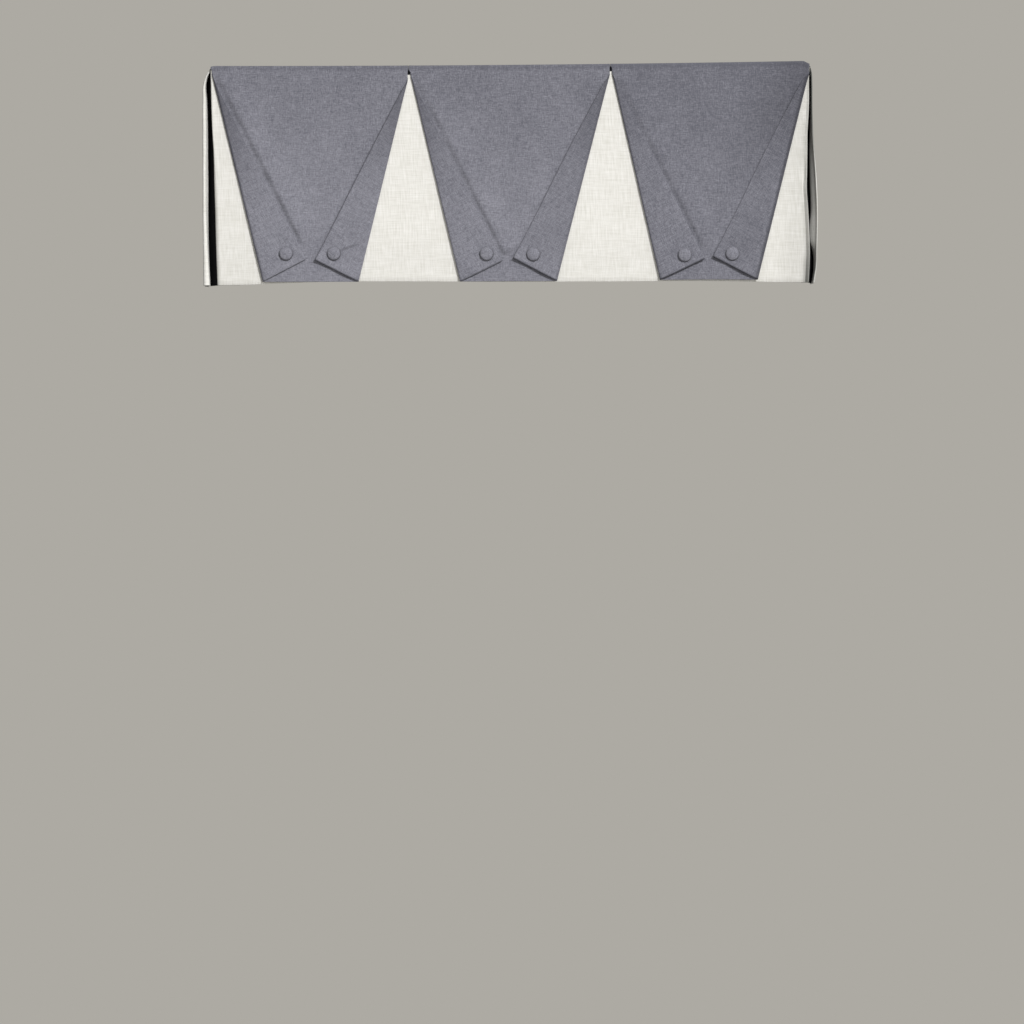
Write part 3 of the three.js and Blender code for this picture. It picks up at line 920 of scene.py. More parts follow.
RIGHT_DARK = [
    (0, 0.3, 4.5, 0.9, 0.55),
    (130, 0.3, 4.5, 0.85, 0.55),
    (180, 0.3, 5, 0.55, 0.55),
    (245, 0.35, 6, 0.2, 0.6),
    (300, 0.42, 10, 0.22, 0.45),
    (350, 0.42, 11, 0.3, 0.42),
    (390, 0.5, 11, 0.4, 0.42),
    (420, 0.64, 12, 0.4, 0.42),
    (457, 0.68, 12, 0.4, 0.42),
]
ENDS = (("left", -1, LEFT_ROWS, LEFT_DARK), ("right", 1, RIGHT_ROWS, RIGHT_DARK))
CORNERS = {}
for end, sign, *tables in ENDS:
    corner = CORNERS[end] = {"sign": sign}
    for names, rows in zip((PLEAT_NAMES, DARK_NAMES), tables):
        drops, *columns = zip(*rows)
        corner.update({name: (drops, column) for name, column in zip(names, columns)})
    print(f"{end} pleat: return out to {max(corner['outer'][1])} mm from the middle")


def at_drop(corner, name, down):
    """One of a corner's sizes or shades at each drop, on a smooth curve."""
    return through(down, *corner[name])


# %% [markdown]
# ## The contrast cloth
#
# The cream cloth runs behind all three panels in one piece. Its heading goes back over the
# top to the wall, both ends are turned in at the corner pleats, and its hem is turned up at
# the back, where it makes the sheet thicker. The panels hold its front flat. Only near the
# right end it stands up in a ridge and has a crease pressed in, and what lies behind the
# crease, the turned-in end and the black insert, is pushed back by it.

# %% The ends of the contrast cloth
TURN_IN = 34
LEG_COLUMNS = 12
RIDGE_REACH = 7
RIDGE_UNEVEN = 0.5
RIDGE_WAVES = (24, 22)
RIDGE_SOFT = 3
CREASE_IN = 6.0
CREASE_WIDE = 1.3
CREASE_LEFT = 0.3


def crease_depth(corner, from_axis, down, start, end):
    """How deep the crease is. It is deepest a finger's width in from the turned-in end, and
    runs out between start and end."""
    inward = CREASE_LEFT + (1 - CREASE_LEFT) * np.clip(from_axis / CREASE_IN, 0, 1)
    return at_drop(corner, "crease", down) * inward * (1 - smooth(from_axis, start, end))


def pushed_back(corner, from_axis, down, flat_from):
    """How far the crease pushes back what lies behind it, up to a place where all is flat."""
    return crease_depth(corner, from_axis, down, CREASE_IN + 3 * CREASE_WIDE, flat_from)


def end_relief(corner, from_axis, down):
    """How far the front stands out near a turned-in end: a ridge at its edge, less the
    crease."""
    uneven = RIDGE_UNEVEN * waves(down, 0 * down, *RIDGE_WAVES) * smooth(from_axis, 0, RIDGE_SOFT)
    ridge = at_drop(corner, "ridge", down) * np.exp(-np.maximum(from_axis, 0) / RIDGE_REACH)
    crease = crease_depth(corner, from_axis, down, CREASE_IN, CREASE_IN + CREASE_WIDE)
    return ridge * (1 + uneven) - crease


def turned_in(corner, down):
    """The turned-in end, from its raw edge round to the front: x from the middle outward, y,
    and the distance round from the raw edge."""
    radius = at_drop(corner, "turn", down)
    axis = at_drop(corner, "edge", down) - radius - CREAM / 2
    leg = np.linspace(0, 1, LEG_COLUMNS, endpoint=False)[None, :]
    turn = np.linspace(math.pi, 0, ROLL_COLUMNS, endpoint=False)[None, :]
    round_x = axis + radius * np.sin(turn)
    round_y = radius * (1 - np.cos(turn)) - PROJECTION
    round_y = round_y - at_drop(corner, "ridge", down) * (1 + np.cos(turn)) / 2
    round_y = round_y + pushed_back(corner, 0, down, TURN_IN)
    x = np.concatenate([axis - TURN_IN * (1 - leg), round_x], axis=1)
    leg_y = 2 * radius - PROJECTION + pushed_back(corner, TURN_IN * (1 - leg), down, TURN_IN)
    y = np.concatenate([leg_y, round_y], axis=1)
    along = np.concatenate([TURN_IN * leg + 0 * radius, TURN_IN + radius * (math.pi - turn)], 1)
    return x, y, along + math.pi * (max(corner["turn"][1]) - radius), axis


for end, corner in CORNERS.items():
    print(f"{end} end turned in to x {turned_in(corner, DROP)[0].min():.1f} mm at the hem")

# %% Shade of the contrast cloth
DIM_RIGHT = (0.13, 540, 610)
DIM_LEFT = (0.04, 480, 560)
DIM_LOW = (0.04, 320, 420)


def end_shade(corner, x, down):
    """Painted shade on the last finger's width of the contrast cloth, where it rolls in."""
    inward = at_drop(corner, "edge", down) - corner["sign"] * x
    rolled = np.exp(-((inward / at_drop(corner, "end_wide", down)) ** 4))
    return at_drop(corner, "end_dark", down) * rolled


def contrast_shade(x, down):
    """Painted shade on the contrast cloth: dimmer towards its ends and low down, and dark close to
    where the ends are turned in."""
    places = ((x, DIM_RIGHT), (-x, DIM_LEFT), (down, DIM_LOW))
    dim = (dark * smooth(at, start, end) for at, (dark, start, end) in places)
    return together(*dim, *(end_shade(corner, x, down) for corner in CORNERS.values()))


print(f"the right end is {contrast_shade(HALF, DROP).item():.0%} darker at the hem")

# %% The grid of the contrast cloth
CREAM_STEP = 5.0
END_ZONE = 22
END_STEP = 1.1
CREAM_RIPPLE = 0.3
CREAM_WAVES = (80, 21)
CREAM_STRETCH = 0.4
HEM_ROLL = 2.2
HEM_ROLL_HIGH = 6
CREAM_HEADING_STEPS = (17, 6)


def contrast_front(left_axis, right_axis, down):
    """The front between the turned-in ends, with fine columns near them: x and y."""
    fine = np.arange(0, END_ZONE, END_STEP)[None, :]
    share = np.linspace(0, 1, round((2 * HALF - 2 * END_ZONE) / CREAM_STEP) + 1)[None, :]
    x = (END_ZONE - left_axis) * (1 - share) + (right_axis - END_ZONE) * share
    x = np.concatenate([fine - left_axis, x, right_axis - fine[:, ::-1]], axis=1)
    ripple = CREAM_RIPPLE * (1 + waves(x, CREAM_STRETCH * down, *CREAM_WAVES))
    y = ripple * np.clip(down / DROP, 0, 1) - PROJECTION
    y = y - end_relief(CORNERS["left"], x + left_axis, down)
    return x, y - end_relief(CORNERS["right"], right_axis - x, down)


def contrast_grid():
    """The whole contrast cloth: its two turned-in ends, its front and its heading."""
    down = rows_down(CREAM_STEP)
    left_x, left_y, left_u, left_axis = turned_in(CORNERS["left"], down)
    right_x, right_y, right_u, right_axis = turned_in(CORNERS["right"], down)
    x, y = contrast_front(left_axis, right_axis, down)
    all_x = np.concatenate([-left_x, x, right_x[:, ::-1]], axis=1)
    all_y = np.concatenate([left_y, y, right_y[:, ::-1]], axis=1)
    all_y = all_y + HEM_ROLL * smooth(down, DROP - HEM_ROLL_HIGH, DROP) ** 2
    before, after = (TURN_IN + math.pi * max(end["turn"][1]) for end in CORNERS.values())
    right_u = before + left_axis + right_axis + after - right_u[:, ::-1]
    u = np.concatenate([left_u, before + x + left_axis, right_u], axis=1)
    on_front = np.concatenate([0 * left_x - left_axis, x, 0 * right_x + right_axis], axis=1)
    drop = hung("cream", all_x, all_y, -down), paired(u, down), contrast_shade(on_front, down)

    y, z, v = over_the_edge(CREAM_BEND, CREAM_REACH, *CREAM_HEADING_STEPS)
    spare = left_x.shape[1]
    x = np.clip(np.pad(x[:1], ((0, 0), (spare, spare)), mode="edge"), -HALF, HALF)
    x[:, : spare + 1], x[:, -spare - 1 :] = -HALF, HALF
    heading = hung("cream", x, y, z), paired(before + x + HALF, v), 0 * (x + v)
    return [np.concatenate(pair) for pair in zip(heading, drop)]


print(f"{2 * HALF:.0f} mm of front between the corners")

# %% Making the contrast cloth
HEM_DEPTH = 38
HEM_SOFT = 2
HEM_CLOTH = 0.8
HEM_STOPS = (74.8, 85)

points, flat, shade = contrast_grid()
from_end = np.minimum(flat[..., 0], flat[..., 0].max() - flat[..., 0])
turned_up = HEM_CLOTH * smooth(flat[..., 1], DROP - HEM_DEPTH - HEM_SOFT, DROP - HEM_DEPTH)
turned_up = turned_up * smooth(from_end, *HEM_STOPS)
made = sheet_of("cream_front", points, flat, CREAM, turned_up, shade)
PIECES["contrast_cloth"] = as_cloth(made)

# %% [markdown]
# ## The returns
#
# A return closes the gap between the front and the wall. Its top turns over the end of the
# heading, and its front edge is turned in on a soft roll that opens a little on its way
# down. The rows of the grid follow the same curves as the pleat, so the return and the
# insert behind it can't meet.

# %% The top of a return
RETURN_REACH = 24
RETURN_BEND = 2
RETURN_TOP = BEND_Z + CREAM_BEND - CREAM - GAP
RETURN_SIDE = HALF + CREAM / 2 + GAP + CREAM / 2
RETURN_TOP_ROWS = 7
RETURN_BEND_ROWS = 5


def return_heading(sign, depth):
    """The cloth that turns over the end of the heading: points, and places on the flat."""
    flat_part = np.linspace(RETURN_REACH - RETURN_BEND, 0, RETURN_TOP_ROWS)[:-1]
    bend = np.linspace(0, math.pi / 2, RETURN_BEND_ROWS)
    bend_x = RETURN_SIDE - RETURN_BEND * (1 - np.sin(bend))
    x = np.concatenate([RETURN_SIDE - RETURN_BEND - flat_part, bend_x])
    z = RETURN_TOP - np.concatenate([0 * flat_part, RETURN_BEND * (1 - np.cos(bend))])
    down = length_along(x, z)[:, None]
    return hung("cream", sign * x[:, None], -depth, z[:, None]), paired(depth, down)


print(f"the returns' tops lie {-RETURN_TOP:.1f} mm below the panels' top")

# %% The drop of a return
RETURN_TURN_IN = 30
RETURN_FOLD_DEPTH = 82
RETURN_BACK_FLARE = 0.6
RETURN_FLARE_DEPTH = 34
RETURN_COLUMNS = 22
RETURN_ROWS = (10, 40, 8, 84)
LEG_BEND = 0.5
RETURN_RIPPLE = 0.35
RETURN_STRETCH = 0.5
RETURN_WAVES = {-1: (60, 42), 1: (60, 41)}
RETURN_SOFT = (0, 30, 50, 70)


def return_grid(corner):
    """A return: its top, its drop along the side, the roll at its front fold and the part
    turned in behind that."""
    sign = corner["sign"]
    top, fine_end, fine_rows, rows = RETURN_ROWS
    fine = np.linspace(top, fine_end, fine_rows, endpoint=False)
    down = np.concatenate([fine, np.linspace(fine_end, DROP - EDGE_SUPPORT, rows), [DROP]])
    down = down[:, None]
    depth = np.linspace(0, RETURN_FOLD_DEPTH, RETURN_COLUMNS)[None, :]
    outer = at_drop(corner, "outer", down) - CREAM / 2
    radius = at_drop(corner, "radius", down)
    swell = smooth(depth, 0, RETURN_FLARE_DEPTH)
    flare = RETURN_BACK_FLARE + (1 - RETURN_BACK_FLARE) * swell
    ripple = RETURN_RIPPLE * waves(depth, RETURN_STRETCH * down, *RETURN_WAVES[sign])
    ripple = ripple * band(depth, *RETURN_SOFT) * (down > fine_end)
    wall_x = RETURN_SIDE + (outer - RETURN_SIDE) * flare + ripple

    turn = np.linspace(0, math.pi, ROLL_COLUMNS + 1)[None, 1:]
    leg = np.linspace(0, 1, LEG_COLUMNS)[None, 1:]
    turned = np.minimum(RETURN_TURN_IN, down)
    roll_x = outer - radius * (1 - np.cos(turn))
    roll_y = -RETURN_FOLD_DEPTH - radius * np.sin(turn)
    leg_x = outer - 2 * radius - at_drop(corner, "flare", down) * smooth(leg, 0, LEG_BEND)
    x = np.concatenate([wall_x, roll_x, leg_x], axis=1)
    y = np.concatenate([-depth + 0 * wall_x, roll_y, turned * leg - RETURN_FOLD_DEPTH], axis=1)
    round_u = np.concatenate([radius * turn, radius * math.pi + turned * leg], axis=1)
    u = np.concatenate([depth + 0 * wall_x, RETURN_FOLD_DEPTH + round_u], axis=1)

    all_depth = np.pad(depth[0], (0, round_u.shape[1]), mode="edge")[None, :]
    heading = return_heading(sign, all_depth)
    below = heading[1][..., 1].max() + down + RETURN_TOP - RETURN_BEND
    drop = hung("cream", sign * x, y, -down), paired(u, below)
    return [np.concatenate(pair) for pair in zip(heading, drop)]


print(f"each return is folded {RETURN_FOLD_DEPTH} mm in front of the wall")

# %% Making the returns
FOLD_SHADED = (-3, -0.5)
INSIDE_SHADED = (1.6, 4)
RETURN_HEM_SHARE = 0.3


def return_shade(corner, points, flat):
    """How dark a return looks along its front fold and on the part turned in behind it, which
    both lie in the shade of the pleat."""
    depth, down = flat[..., 0] - RETURN_FOLD_DEPTH, -points[..., 2]
    fold = at_drop(corner, "fold_dark", down)
    inside = at_drop(corner, "inside_dark", down) - fold
    return fold * smooth(depth, *FOLD_SHADED) + inside * smooth(depth, *INSIDE_SHADED)


for end, corner in CORNERS.items():
    points, flat = return_grid(corner)
    parts = points, flat, return_shade(corner, points, flat)
    points, flat, shade = (part[:, :: -corner["sign"]] for part in parts)
    hem = smooth(flat[..., 1] - flat[..., 1].max() + HEM_DEPTH, -HEM_SOFT, 0)
    turned_up = RETURN_HEM_SHARE * HEM_CLOTH * hem
    made = sheet_of("cream_return_" + end, points, flat, CREAM, turned_up, shade)
    PIECES["return_" + end] = as_cloth(made)

# %% [markdown]
# ## The black inserts
#
# Behind each open pleat lies a strip of black cloth, bent round the corner. Only a dark slit
# of it shows, but it is what makes the pleat read as deep, so it is a real sheet that closes
# the way to the wall from every side.

# %% Making the inserts
INSERT_FRONT = 44
INSERT_SIDE = 40
INSERT_CLEAR = 0.7
INSERT_STEP = 3
INSERT_TOP = [6.5, 8, 10, 14]
INSERT_ROWS = (18, 90)
INSERT_COLUMNS = (16, 12, 5, 5)
PUSH_DEPTH = 8
BEND_BEFORE = 3
BEND_APART = 1


def insert_grid(corner):
    """The insert in plan: flat behind the turned-in end, then slanting back to the raw edge
    of the return's own turned-in part, round it, and on along the return."""
    start, rows = INSERT_ROWS
    down = np.concatenate([INSERT_TOP, np.linspace(start, DROP, rows)])[:, None]
    turn, edge = at_drop(corner, "turn", down), at_drop(corner, "edge", down)
    front = 2 * max(corner["turn"][1]) - PROJECTION + CREAM / 2 + GAP + BLACK / 2 + 0 * down
    wall = at_drop(corner, "outer", down) - CREAM - INSERT_CLEAR - BLACK / 2
    leg = wall - 2 * at_drop(corner, "radius", down) - at_drop(corner, "flare", down)
    bend = np.minimum(edge - BEND_BEFORE, leg - BEND_APART)
    raw = RETURN_TURN_IN - RETURN_FOLD_DEPTH + INSERT_CLEAR + 0 * down
    turns_x = [bend - INSERT_FRONT, bend, leg, wall, wall]
    turns_y = [front, front, raw, raw + INSERT_STEP, front + INSERT_SIDE]
    x, y = turns_x[:1], turns_y[:1]
    for i, columns in enumerate(INSERT_COLUMNS):
        share = np.linspace(0, 1, columns + 1)[None, 1:]
        x.append(turns_x[i] * (1 - share) + turns_x[i + 1] * share)
        y.append(turns_y[i] * (1 - share) + turns_y[i + 1] * share)
    x, y = np.concatenate(x, axis=1), np.concatenate(y, axis=1)
    from_axis = np.maximum(edge - turn - CREAM / 2 - x, 0)
    pushed = pushed_back(corner, from_axis, down, INSERT_FRONT)
    y = y + pushed * (1 - smooth(y, front, front + PUSH_DEPTH))
    return hung("cream", corner["sign"] * x, y, -down), paired(length_along(x, y), down)


for end, corner in CORNERS.items():
    points, flat = (part[:, :: corner["sign"]] for part in insert_grid(corner))
    made = sheet_of("black_insert_" + end, points, flat, BLACK)
    PIECES["corner_insert_" + end] = as_cloth(made)

# %% [markdown]
# A dark speck shows above each whole triangle, where two panels part. It is painted shade for the
# gap there: a scrap of the black cloth is put between the panels and the contrast cloth.

# %% Black scraps behind the notches, as painted shade
SPECK_WIDE = 14
SPECK_THICK = 0.2
SPECK_BELOW_TOP = 0.5
SPECK_COLUMNS = 5
SPECK_ROWS = 9
SPECKS = (("left", 1, 2, 20), ("right", 3, 4, 16.2))

SPECK_PIECES = []
for end, one, two, bottom in SPECKS:
    middle = (side_at(FLAPS[one], DROP) + side_at(FLAPS[two], DROP)) / 2
    x = middle + SPECK_WIDE * (np.linspace(0, 1, SPECK_COLUMNS)[None, :] - 0.5)
    down = np.linspace(SPECK_BELOW_TOP - BEND_Z, bottom, SPECK_ROWS)[:, None]
    points = hung("cream", x, -(PROJECTION + CREAM / 2 + GAP / 2), -down)
    flat = paired(x - x.min(), down)
    made = sheet_of("black_shade_in_notch_" + end, points, flat, SPECK_THICK)
    SPECK_PIECES.append(as_cloth(made))

# %% [markdown]
# ## A small language for shaders
#
# A weave is easiest to think of as sums: a thread is light where a wave is high, plus some
# slubs, minus the shade between the threads. Wiring Math nodes by hand hides such sums. The
# first class below wraps a socket, so that Python's own signs add the nodes. Colours go
# through Mix nodes, because a Math node would turn them grey.


# %% Sums on sockets
def sign_of(operation, turned=False):
    """A Python sign as a Math node, and turned for a plain number on its left."""

    def made(self, other):
        return self.maths(operation, *((other, self) if turned else (self, other)))

    return made


class Value:
    """A number at each place of a surface."""

    def __init__(self, wiring, socket):
        self.wiring = wiring
        self.socket = socket

    def maths(self, operation, *inputs):
        """A Math node on this value and others."""
        settings = {"operation": operation}
        made = self.wiring.node("ShaderNodeMath", settings, dict(enumerate(inputs)))
        return Value(self.wiring, made.outputs[0])

    __add__, __radd__ = sign_of("ADD"), sign_of("ADD", turned=True)
    __sub__, __rsub__ = sign_of("SUBTRACT"), sign_of("SUBTRACT", turned=True)
    __mul__, __rmul__ = sign_of("MULTIPLY"), sign_of("MULTIPLY", turned=True)
    __pow__, __rpow__ = sign_of("POWER"), sign_of("POWER", turned=True)

    def sine(self):
        """Its sine."""
        return self.maths("SINE", self)

    def size(self):
        """Its size without its sign."""
        return self.maths("ABSOLUTE", self)


print("signs for sockets:", [sign for sign in vars(Value) if sign.startswith("__r")])


# %% Nodes by one method
class Wiring:
    """The nodes of a material or of the surroundings."""

    def __init__(self, owner):
        owner.use_nodes = True
        self.tree = owner.node_tree

    def node(self, kind, settings=None, inputs=None):
        """A node of any type: its settings first, then a value or a link for its sockets."""
        made = self.tree.nodes.new(kind)
        for name, value in (settings or {}).items():
            setattr(made, name, value)
        for key, value in (inputs or {}).items():
            self.feed(made.inputs[key], value)
        return made

    def feed(self, socket, value):
        """A value for a socket, or a link to it."""
        value = value.socket if isinstance(value, Value) else value
        if isinstance(value, bpy.types.NodeSocket):
            self.tree.links.new(value, socket)
        else:
            socket.default_value = value

    def steps(self, value, start, end, low=0.0, high=1.0):
        """A smooth step of a value from low at start to high at end."""
        settings = {"interpolation_type": "SMOOTHSTEP"}
        inputs = {0: value, 1: start, 2: end, 3: low, 4: high}
        return Value(self, self.node("ShaderNodeMapRange", settings, inputs).outputs[0])

    def mix(self, share, one, two):
        """A colour between two others."""
        settings = {"data_type": "RGBA", "blend_type": "MIX", "clamp_factor": True}
        return self.node("ShaderNodeMix", settings, {0: share, 6: one, 7: two}).outputs[2]


class Finish(Wiring):
    """One material and its nodes."""

    def __init__(self, name):
        self.material = bpy.data.materials.new(name)
        super().__init__(self.material)
        self.shader = self.tree.nodes["Principled BSDF"]

    def cloth(self):
        """The place on the flat cloth, whole, and then across and down in metres."""
        place = self.node("ShaderNodeAttribute", {"attribute_name": "cloth"}).outputs["Vector"]
        parts = self.node("ShaderNodeSeparateXYZ", inputs={0: place}).outputs
        return place, Value(self, parts[0]), Value(self, parts[1])

    def shaded(self, colour, dark):
        """A colour with the piece's painted shade mixed over it."""
        shade = self.node("ShaderNodeAttribute", {"attribute_name": "shade"})
        return self.mix(shade.outputs["Fac"], colour, dark)

    def streaks(self, place, across, along, seed, detail=2.0):
        """Noise drawn out to the width and length of a thread, in millimetres."""
        sizes = (1 / (across * MM), 1 / (along * MM), 1)
        moved = {"Location": (seed * 3.7, seed * 5.3, seed * 1.9), "Scale": sizes, "Vector": place}
        scaled = self.node("ShaderNodeMapping", inputs=moved)
        noise = {"Vector": scaled.outputs[0], "Scale": 1.0, "Detail": detail, "Roughness": 0.6}
        made = self.node("ShaderNodeTexNoise", {"noise_dimensions": "3D"}, noise)
        return Value(self, made.outputs[0])

    def threads(self, place, table, seed, tone):
        """Streaks for each row of a table, and a tone that each lifts or lowers by its share."""
        noises = {}
        for kind, across, along, own, detail, share in table:
            noises[kind] = self.streaks(place, across, along, seed + own, detail)
            tone = (noises[kind] - 0.5) * share + tone
        return noises, tone

    def weave(self, u, v, thread):
        """Threads that go over and under each other in turn."""
        pace = math.pi / (thread * MM)
        return (u * pace).sine() * (v * pace).sine()

    def finished(self, colour, height, roughness, depth, **constants):
        """The shader: a colour, a height for the bump, and plain numbers for the rest."""
        bump = self.node("ShaderNodeBump", inputs={"Distance": depth, "Height": height})
        self.feed(self.shader.inputs["Base Color"], colour)
        self.feed(self.shader.inputs["Normal"], bump.outputs[0])
        self.feed(self.shader.inputs["Roughness"], roughness)
        for name, value in constants.items():
            self.shader.inputs[name.replace("_", " ")].default_value = value
        print(f"{self.material.name}: {len(self.tree.nodes)} nodes")
        return self.material


# %% [markdown]
# ## Blue-grey linen
#
# Linen yarn is uneven. Each thread is a little lighter or darker than the next for its whole
# length, and now and then it swells into a slub. So the colour comes from streaks along both
# thread directions, and a plain over-and-under weave under them gives the bump. All of it is
# laid out on the flat cloth, so the threads turn with the flaps.

# %% The linen finish
# Each kind of thread has its width and length in mm, its seed, its detail and its share.
THREAD = 0.95
LINEN_THREADS = (
    ("warp", 1.6, 22, 1, 2.0, 0.75),
    ("weft", 22, 1.6, 2, 2.0, 0.75),
    ("fine warp", 1.0, 6, 3, 1.0, 1.0),
    ("fine weft", 6, 1.0, 4, 1.0, 1.0),
    ("cloud", 70, 90, 7, 1.0, 0.25),
)
SLUBS = ((1.4, 22, 5), (22, 1.4, 6))
SLUB_FROM = (0.64, 0.74)
LINEN_TONE = 0.5
SLUB_TONE, SLUB_HEIGHT = 0.16, 0.7
WEAVE_TONE, WEAVE_HEIGHT = 0.08, 0.35
THREAD_HEIGHT = 0.8
LINEN_DARK = (0.098, 0.099, 0.123, 1)
LINEN_LIGHT = (0.284, 0.283, 0.326, 1)
TOP_SHADE = (0.0, 0.3, 0.18)
EDGE_SHADE = (0.004, 0.014, 0.22)
LINEN_SHADE = (0.006, 0.006, 0.013, 1)
LINEN_SURFACE = {"roughness": 0.88, "depth": 0.00022, "Sheen_Weight": 0.12, "Sheen_Roughness": 0.6}


def linen_finish(name, seed, painted_falloff, shaded=True):
    """Linen from its threads, with painted shade: a darker tone for panels further from the light,
    and darker towards the top and most where it turns over it, unless on a button.
    """
    finish = Finish(name)
    place, u, v = finish.cloth()
    noises, tone = finish.threads(place, LINEN_THREADS, seed, LINEN_TONE + painted_falloff)
    slubs = 0
    for across, along, own in SLUBS:
        noise = finish.streaks(place, across, along, seed + own, 1.0)
        slubs = finish.steps(noise, *SLUB_FROM) + slubs
    weave = finish.weave(u, v, THREAD)
    tone = tone + slubs * SLUB_TONE + weave * WEAVE_TONE
    # Painted shade: darker over the upper part of the drop, and darker still close below the top
    # edge, where the cloth turns over it.
    for start, end, dark in (TOP_SHADE, EDGE_SHADE) if shaded else ():
        tone = tone - finish.steps(v, start, end, dark, 0.0)
    colour = finish.shaded(finish.mix(tone, LINEN_DARK, LINEN_LIGHT), LINEN_SHADE)
    height = (noises["warp"] + noises["weft"]) * THREAD_HEIGHT + slubs * SLUB_HEIGHT
    height = height + noises["fine warp"] + noises["fine weft"] + weave * WEAVE_HEIGHT
    return finish.finished(colour, height, **LINEN_SURFACE)


# Painted shade: the middle and right panels are made darker, for the light that falls off towards
# the right end.
PAINTED_FALLOFF = {"left": 0.0, "middle": -0.05, "right": -0.17}
LINEN_CLOTHS = {}
for i, side in enumerate(SIDES):
    LINEN_CLOTHS[side] = linen_finish(f"blue-grey linen {side}", 10 * i, PAINTED_FALLOFF[side])
BUTTON_LINEN = linen_finish("button linen", 40, 0.0, shaded=False)

# %% [markdown]
# ## Cream basket weave
#
# In a basket weave small groups of threads go over and under together, so the cloth is a
# fine check of little blocks. Where the block has its threads upright, it is ribbed one way,
# and else the other way. A mask of two sines picks between the two, and long streaks make
# some threads a shade darker, mostly upright ones.

# %% The cream finish
BLOCK = 2.3
THREADS_IN_BLOCK = 3
BLOCK_SOFT = 0.15
GAP_SHARP = 0.35
CREAM_THREADS = (
    ("warp", 2.3, 38, 11, 1.0, 0.95),
    ("weft", 38, 2.3, 12, 1.0, 0.7),
    ("fine", 0.9, 14, 13, 1.0, 0.3),
    ("cloud", 60, 45, 14, 1.0, 0.15),
)
CREAM_TONE = 0.62
RIB_MEAN, RIB_TONE, RIB_HEIGHT = 0.6, 0.1, 0.5
BLOCK_MEAN, BLOCK_TONE, BLOCK_HEIGHT = 0.8, 0.18, 0.8
WARP_HEIGHT, WEFT_HEIGHT = 0.5, 0.4
CREAM_DARK = (0.60, 0.588, 0.528, 1)
CREAM_LIGHT = (0.875, 0.862, 0.83, 1)
CREAM_SHADE = (0.03, 0.035, 0.03, 1)
CREAM_SURFACE = {"roughness": 0.9, "depth": 0.00025, "Sheen_Weight": 0.08, "Sheen_Roughness": 0.6}


def cream_finish():
    """Cream cloth: ribbed blocks, streaks and clouds over them, and the piece's painted shade."""
    finish = Finish("cream basket weave")
    place, u, v = finish.cloth()
    noises, tone = finish.threads(place, CREAM_THREADS, 0, CREAM_TONE)
    block = math.pi / (BLOCK * MM)
    thread = block * THREADS_IN_BLOCK
    upright = finish.steps(finish.weave(u, v, BLOCK), -BLOCK_SOFT, BLOCK_SOFT)
    ribs = upright * (u * thread).sine().size() + (1 - upright) * (v * thread).sine().size()
    blocks = ((u * block).sine().size() * (v * block).sine().size()) ** GAP_SHARP
    tone = tone + (ribs - RIB_MEAN) * RIB_TONE + (blocks - BLOCK_MEAN) * BLOCK_TONE
    colour = finish.shaded(finish.mix(tone, CREAM_DARK, CREAM_LIGHT), CREAM_SHADE)
    height = ribs * RIB_HEIGHT + blocks * BLOCK_HEIGHT
    height = height + noises["warp"] * WARP_HEIGHT + noises["weft"] * WEFT_HEIGHT
    return finish.finished(colour, height, **CREAM_SURFACE)


CREAM_CLOTH = cream_finish()


# %% The black finish
BLACK_THREAD = 0.7
BLACK_STREAK = (1.1, 40, 21)
BLACK_WEAVE_TONE, BLACK_WEAVE_HEIGHT = 0.1, 0.5
BLACK_DEEP = (0.004, 0.004, 0.005, 1)
BLACK_WORN = (0.011, 0.011, 0.013, 1)
BLACK_SURFACE = {"roughness": 0.95, "depth": 0.0002, "Specular_IOR_Level": 0.08}


def black_finish():
    """Plain black lining cloth, with its upright threads a little worn."""
    finish = Finish("black lining cloth")
    place, u, v = finish.cloth()
    weave = finish.weave(u, v, BLACK_THREAD)
    warp = finish.streaks(place, *BLACK_STREAK)
    colour = finish.mix(warp + weave * BLACK_WEAVE_TONE, BLACK_DEEP, BLACK_WORN)
    return finish.finished(colour, weave * BLACK_WEAVE_HEIGHT + warp, **BLACK_SURFACE)


BLACK_CLOTH = black_finish()

# %% [markdown]
# ## Putting the pieces in the frame
#
# Every piece stands for one solid of the model, rides on the only body, and wears the finish of
# its kind.

# %% Finishes, bodies and slots
SLOTS = {
    "panel": ("grey_linen", LINEN_CLOTHS),
    "button": ("grey_linen_button", BUTTON_LINEN),
    "contrast": ("cream_cloth", CREAM_CLOTH),
    "return": ("cream_cloth", CREAM_CLOTH),
    "corner": ("black_cloth", BLACK_CLOTH),
}
for node, piece in PIECES.items():
    kind, _, which = node.partition("_")
    slot, material = SLOTS[kind]
    material = material[which] if kind == "panel" else material
    piece.data.materials.append(material)
    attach(piece, "root")
    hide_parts(node)
for piece in SPECK_PIECES:
    piece.data.materials.append(BLACK_CLOTH)
    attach(piece, "root")
print(len(PIECES), "pieces stand for", len(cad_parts), "solids")

# %% [markdown]
# ## Light, floor and camera
#
# The cloths read by the thin shadows along their folds. Those fall to the lower left, so the
# main light stands at the upper right, in front. It is a sun lamp with a wide disc, which
# gives even light over the whole width and soft edges to the shadows. A pale even
# surrounding fills the rest.

# %% The studio light
SURROUND = (0.418, 0.402, 0.366, 1)
FILL_LOW = (0.08, 0.08, 0.083, 1)
FILL_HIGH = (0.66, 0.65, 0.63, 1)
FILL_FROM = (-0.5, 1.0)
KEY_TURN = 50
KEY_OFF_AXIS = 40
KEY_STRENGTH = 2.7
KEY_DISC = 12


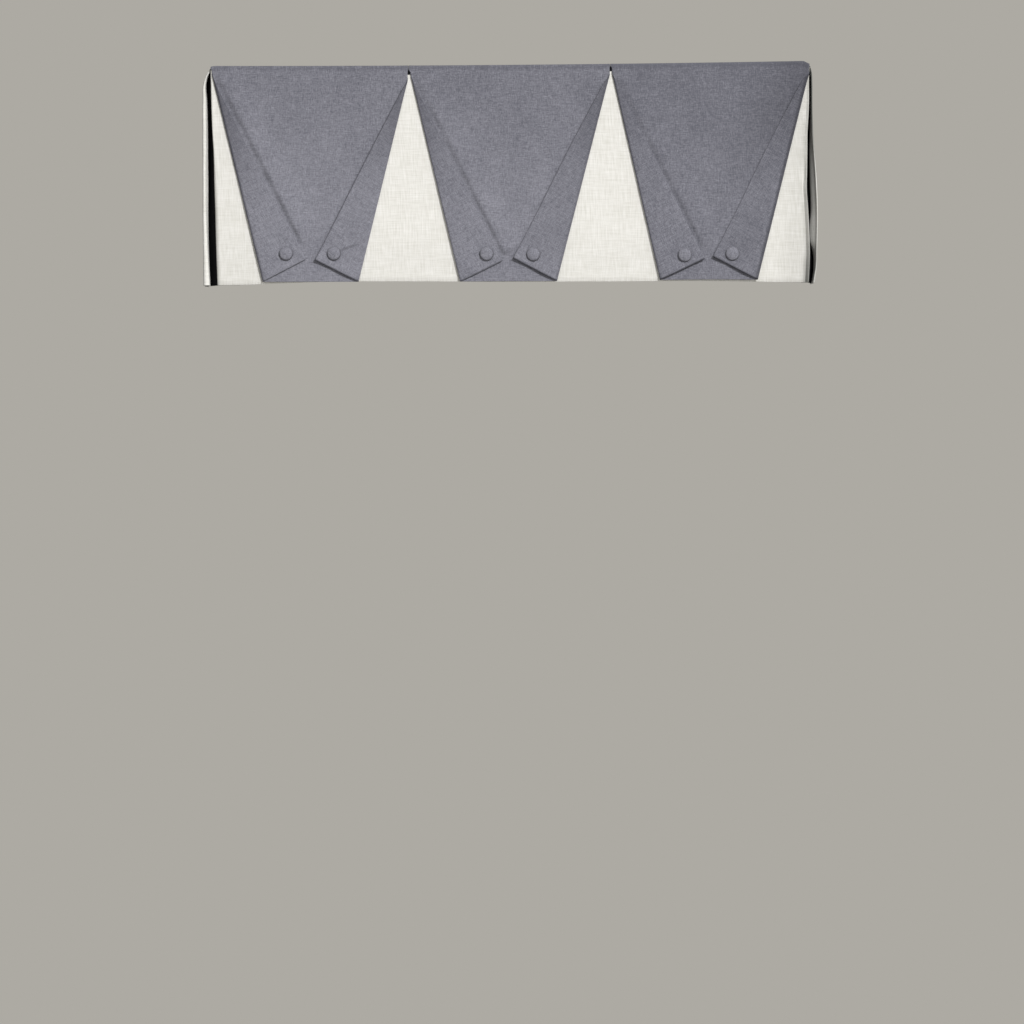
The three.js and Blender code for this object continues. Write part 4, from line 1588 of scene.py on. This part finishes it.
def surroundings(towards_key):
    """The camera sees one even pale tone. The cloth is lit by a soft gradient instead, which
    is bright towards the key light and dim on the other side."""
    world = bpy.data.worlds.new("pale studio")
    wiring = Wiring(world)
    inputs = {0: wiring.node("ShaderNodeTexCoord").outputs["Generated"], 1: towards_key}
    facing = wiring.node("ShaderNodeVectorMath", {"operation": "DOT_PRODUCT"}, inputs)
    share = wiring.steps(facing.outputs["Value"], *FILL_FROM)
    seen = wiring.node("ShaderNodeLightPath").outputs["Is Camera Ray"]
    tone = wiring.mix(seen, wiring.mix(share, FILL_LOW, FILL_HIGH), SURROUND)
    wiring.feed(wiring.tree.nodes["Background"].inputs["Color"], tone)
    bpy.context.scene.world = world


off, turn = math.radians(KEY_OFF_AXIS), math.radians(KEY_TURN)
to_key = (math.sin(off) * math.cos(turn), -math.cos(off), math.sin(off) * math.sin(turn))
surroundings(to_key)
bpy.context.scene.view_settings.view_transform = "Standard"

key = placed("key light", bpy.data.lights.new("key light", "SUN"))
key.data.energy = KEY_STRENGTH
key.data.angle = math.radians(KEY_DISC)
key.rotation_mode = "QUATERNION"
key.rotation_quaternion = Vector(to_key).to_track_quat("Z", "Y")
print("key light shines from", [round(c, 2) for c in to_key])

# %% The floor
FLOOR_DROP = 2250
FLOOR_HALF = 2600
FLOOR_FAR = 1900
FLOOR_CLOUD = 400
FLOOR_DARK = (0.52, 0.51, 0.49, 1)
FLOOR_LIGHT = (0.58, 0.57, 0.55, 1)


def stage_floor():
    """A plain pale floor, well below the valance, with the faintest clouds in its paint."""
    mesh = bpy.data.meshes.new("studio_floor")
    near = FLOOR_FAR - 2 * FLOOR_HALF
    corners = [(-1, near), (1, near), (1, FLOOR_FAR), (-1, FLOOR_FAR)]
    corners = [(side * FLOOR_HALF * MM, y * MM, -FLOOR_DROP * MM) for side, y in corners]
    mesh.from_pydata(corners, [], [(0, 1, 2, 3)])
    finish = Finish("studio floor paint")
    place = finish.node("ShaderNodeTexCoord").outputs["Object"]
    tone = finish.streaks(place, FLOOR_CLOUD, FLOOR_CLOUD, 31)
    colour = finish.mix(tone, FLOOR_DARK, FLOOR_LIGHT)
    mesh.materials.append(finish.finished(colour, tone, 0.9, 0.0005))
    placed("studio_floor", mesh)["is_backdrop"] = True


stage_floor()

# %% [markdown]
# The camera stands level and far back, as for a straight product view. Its height is that
# of the middle of the view, which lies well below the valance.

# %% The camera
SENSOR = 36
VIEW_WIDTH = 2160.6
VIEW_X = 4.2
VIEW_Z = -944
CAMERA_DISTANCE = 11000
CLIP_END = 100

camera = placed("camera", bpy.data.cameras.new("camera"))
camera.data.sensor_width = SENSOR
camera.data.lens = SENSOR * CAMERA_DISTANCE / VIEW_WIDTH
camera.data.clip_end = CLIP_END
camera.location = (VIEW_X * MM, (PANEL_Y - CAMERA_DISTANCE) * MM, VIEW_Z * MM)
camera.rotation_euler = (math.pi / 2, 0, 0)
bpy.context.scene.camera = camera
print(f"lens {camera.data.lens:.0f} mm")

# %% Sizes, and the end
low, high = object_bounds()
grown = [round(1000 * g, 1) for g in (*(cad_low - low), *(high - cad_high))]
print("the pieces stand proud of the model's box by, in mm:", grown)
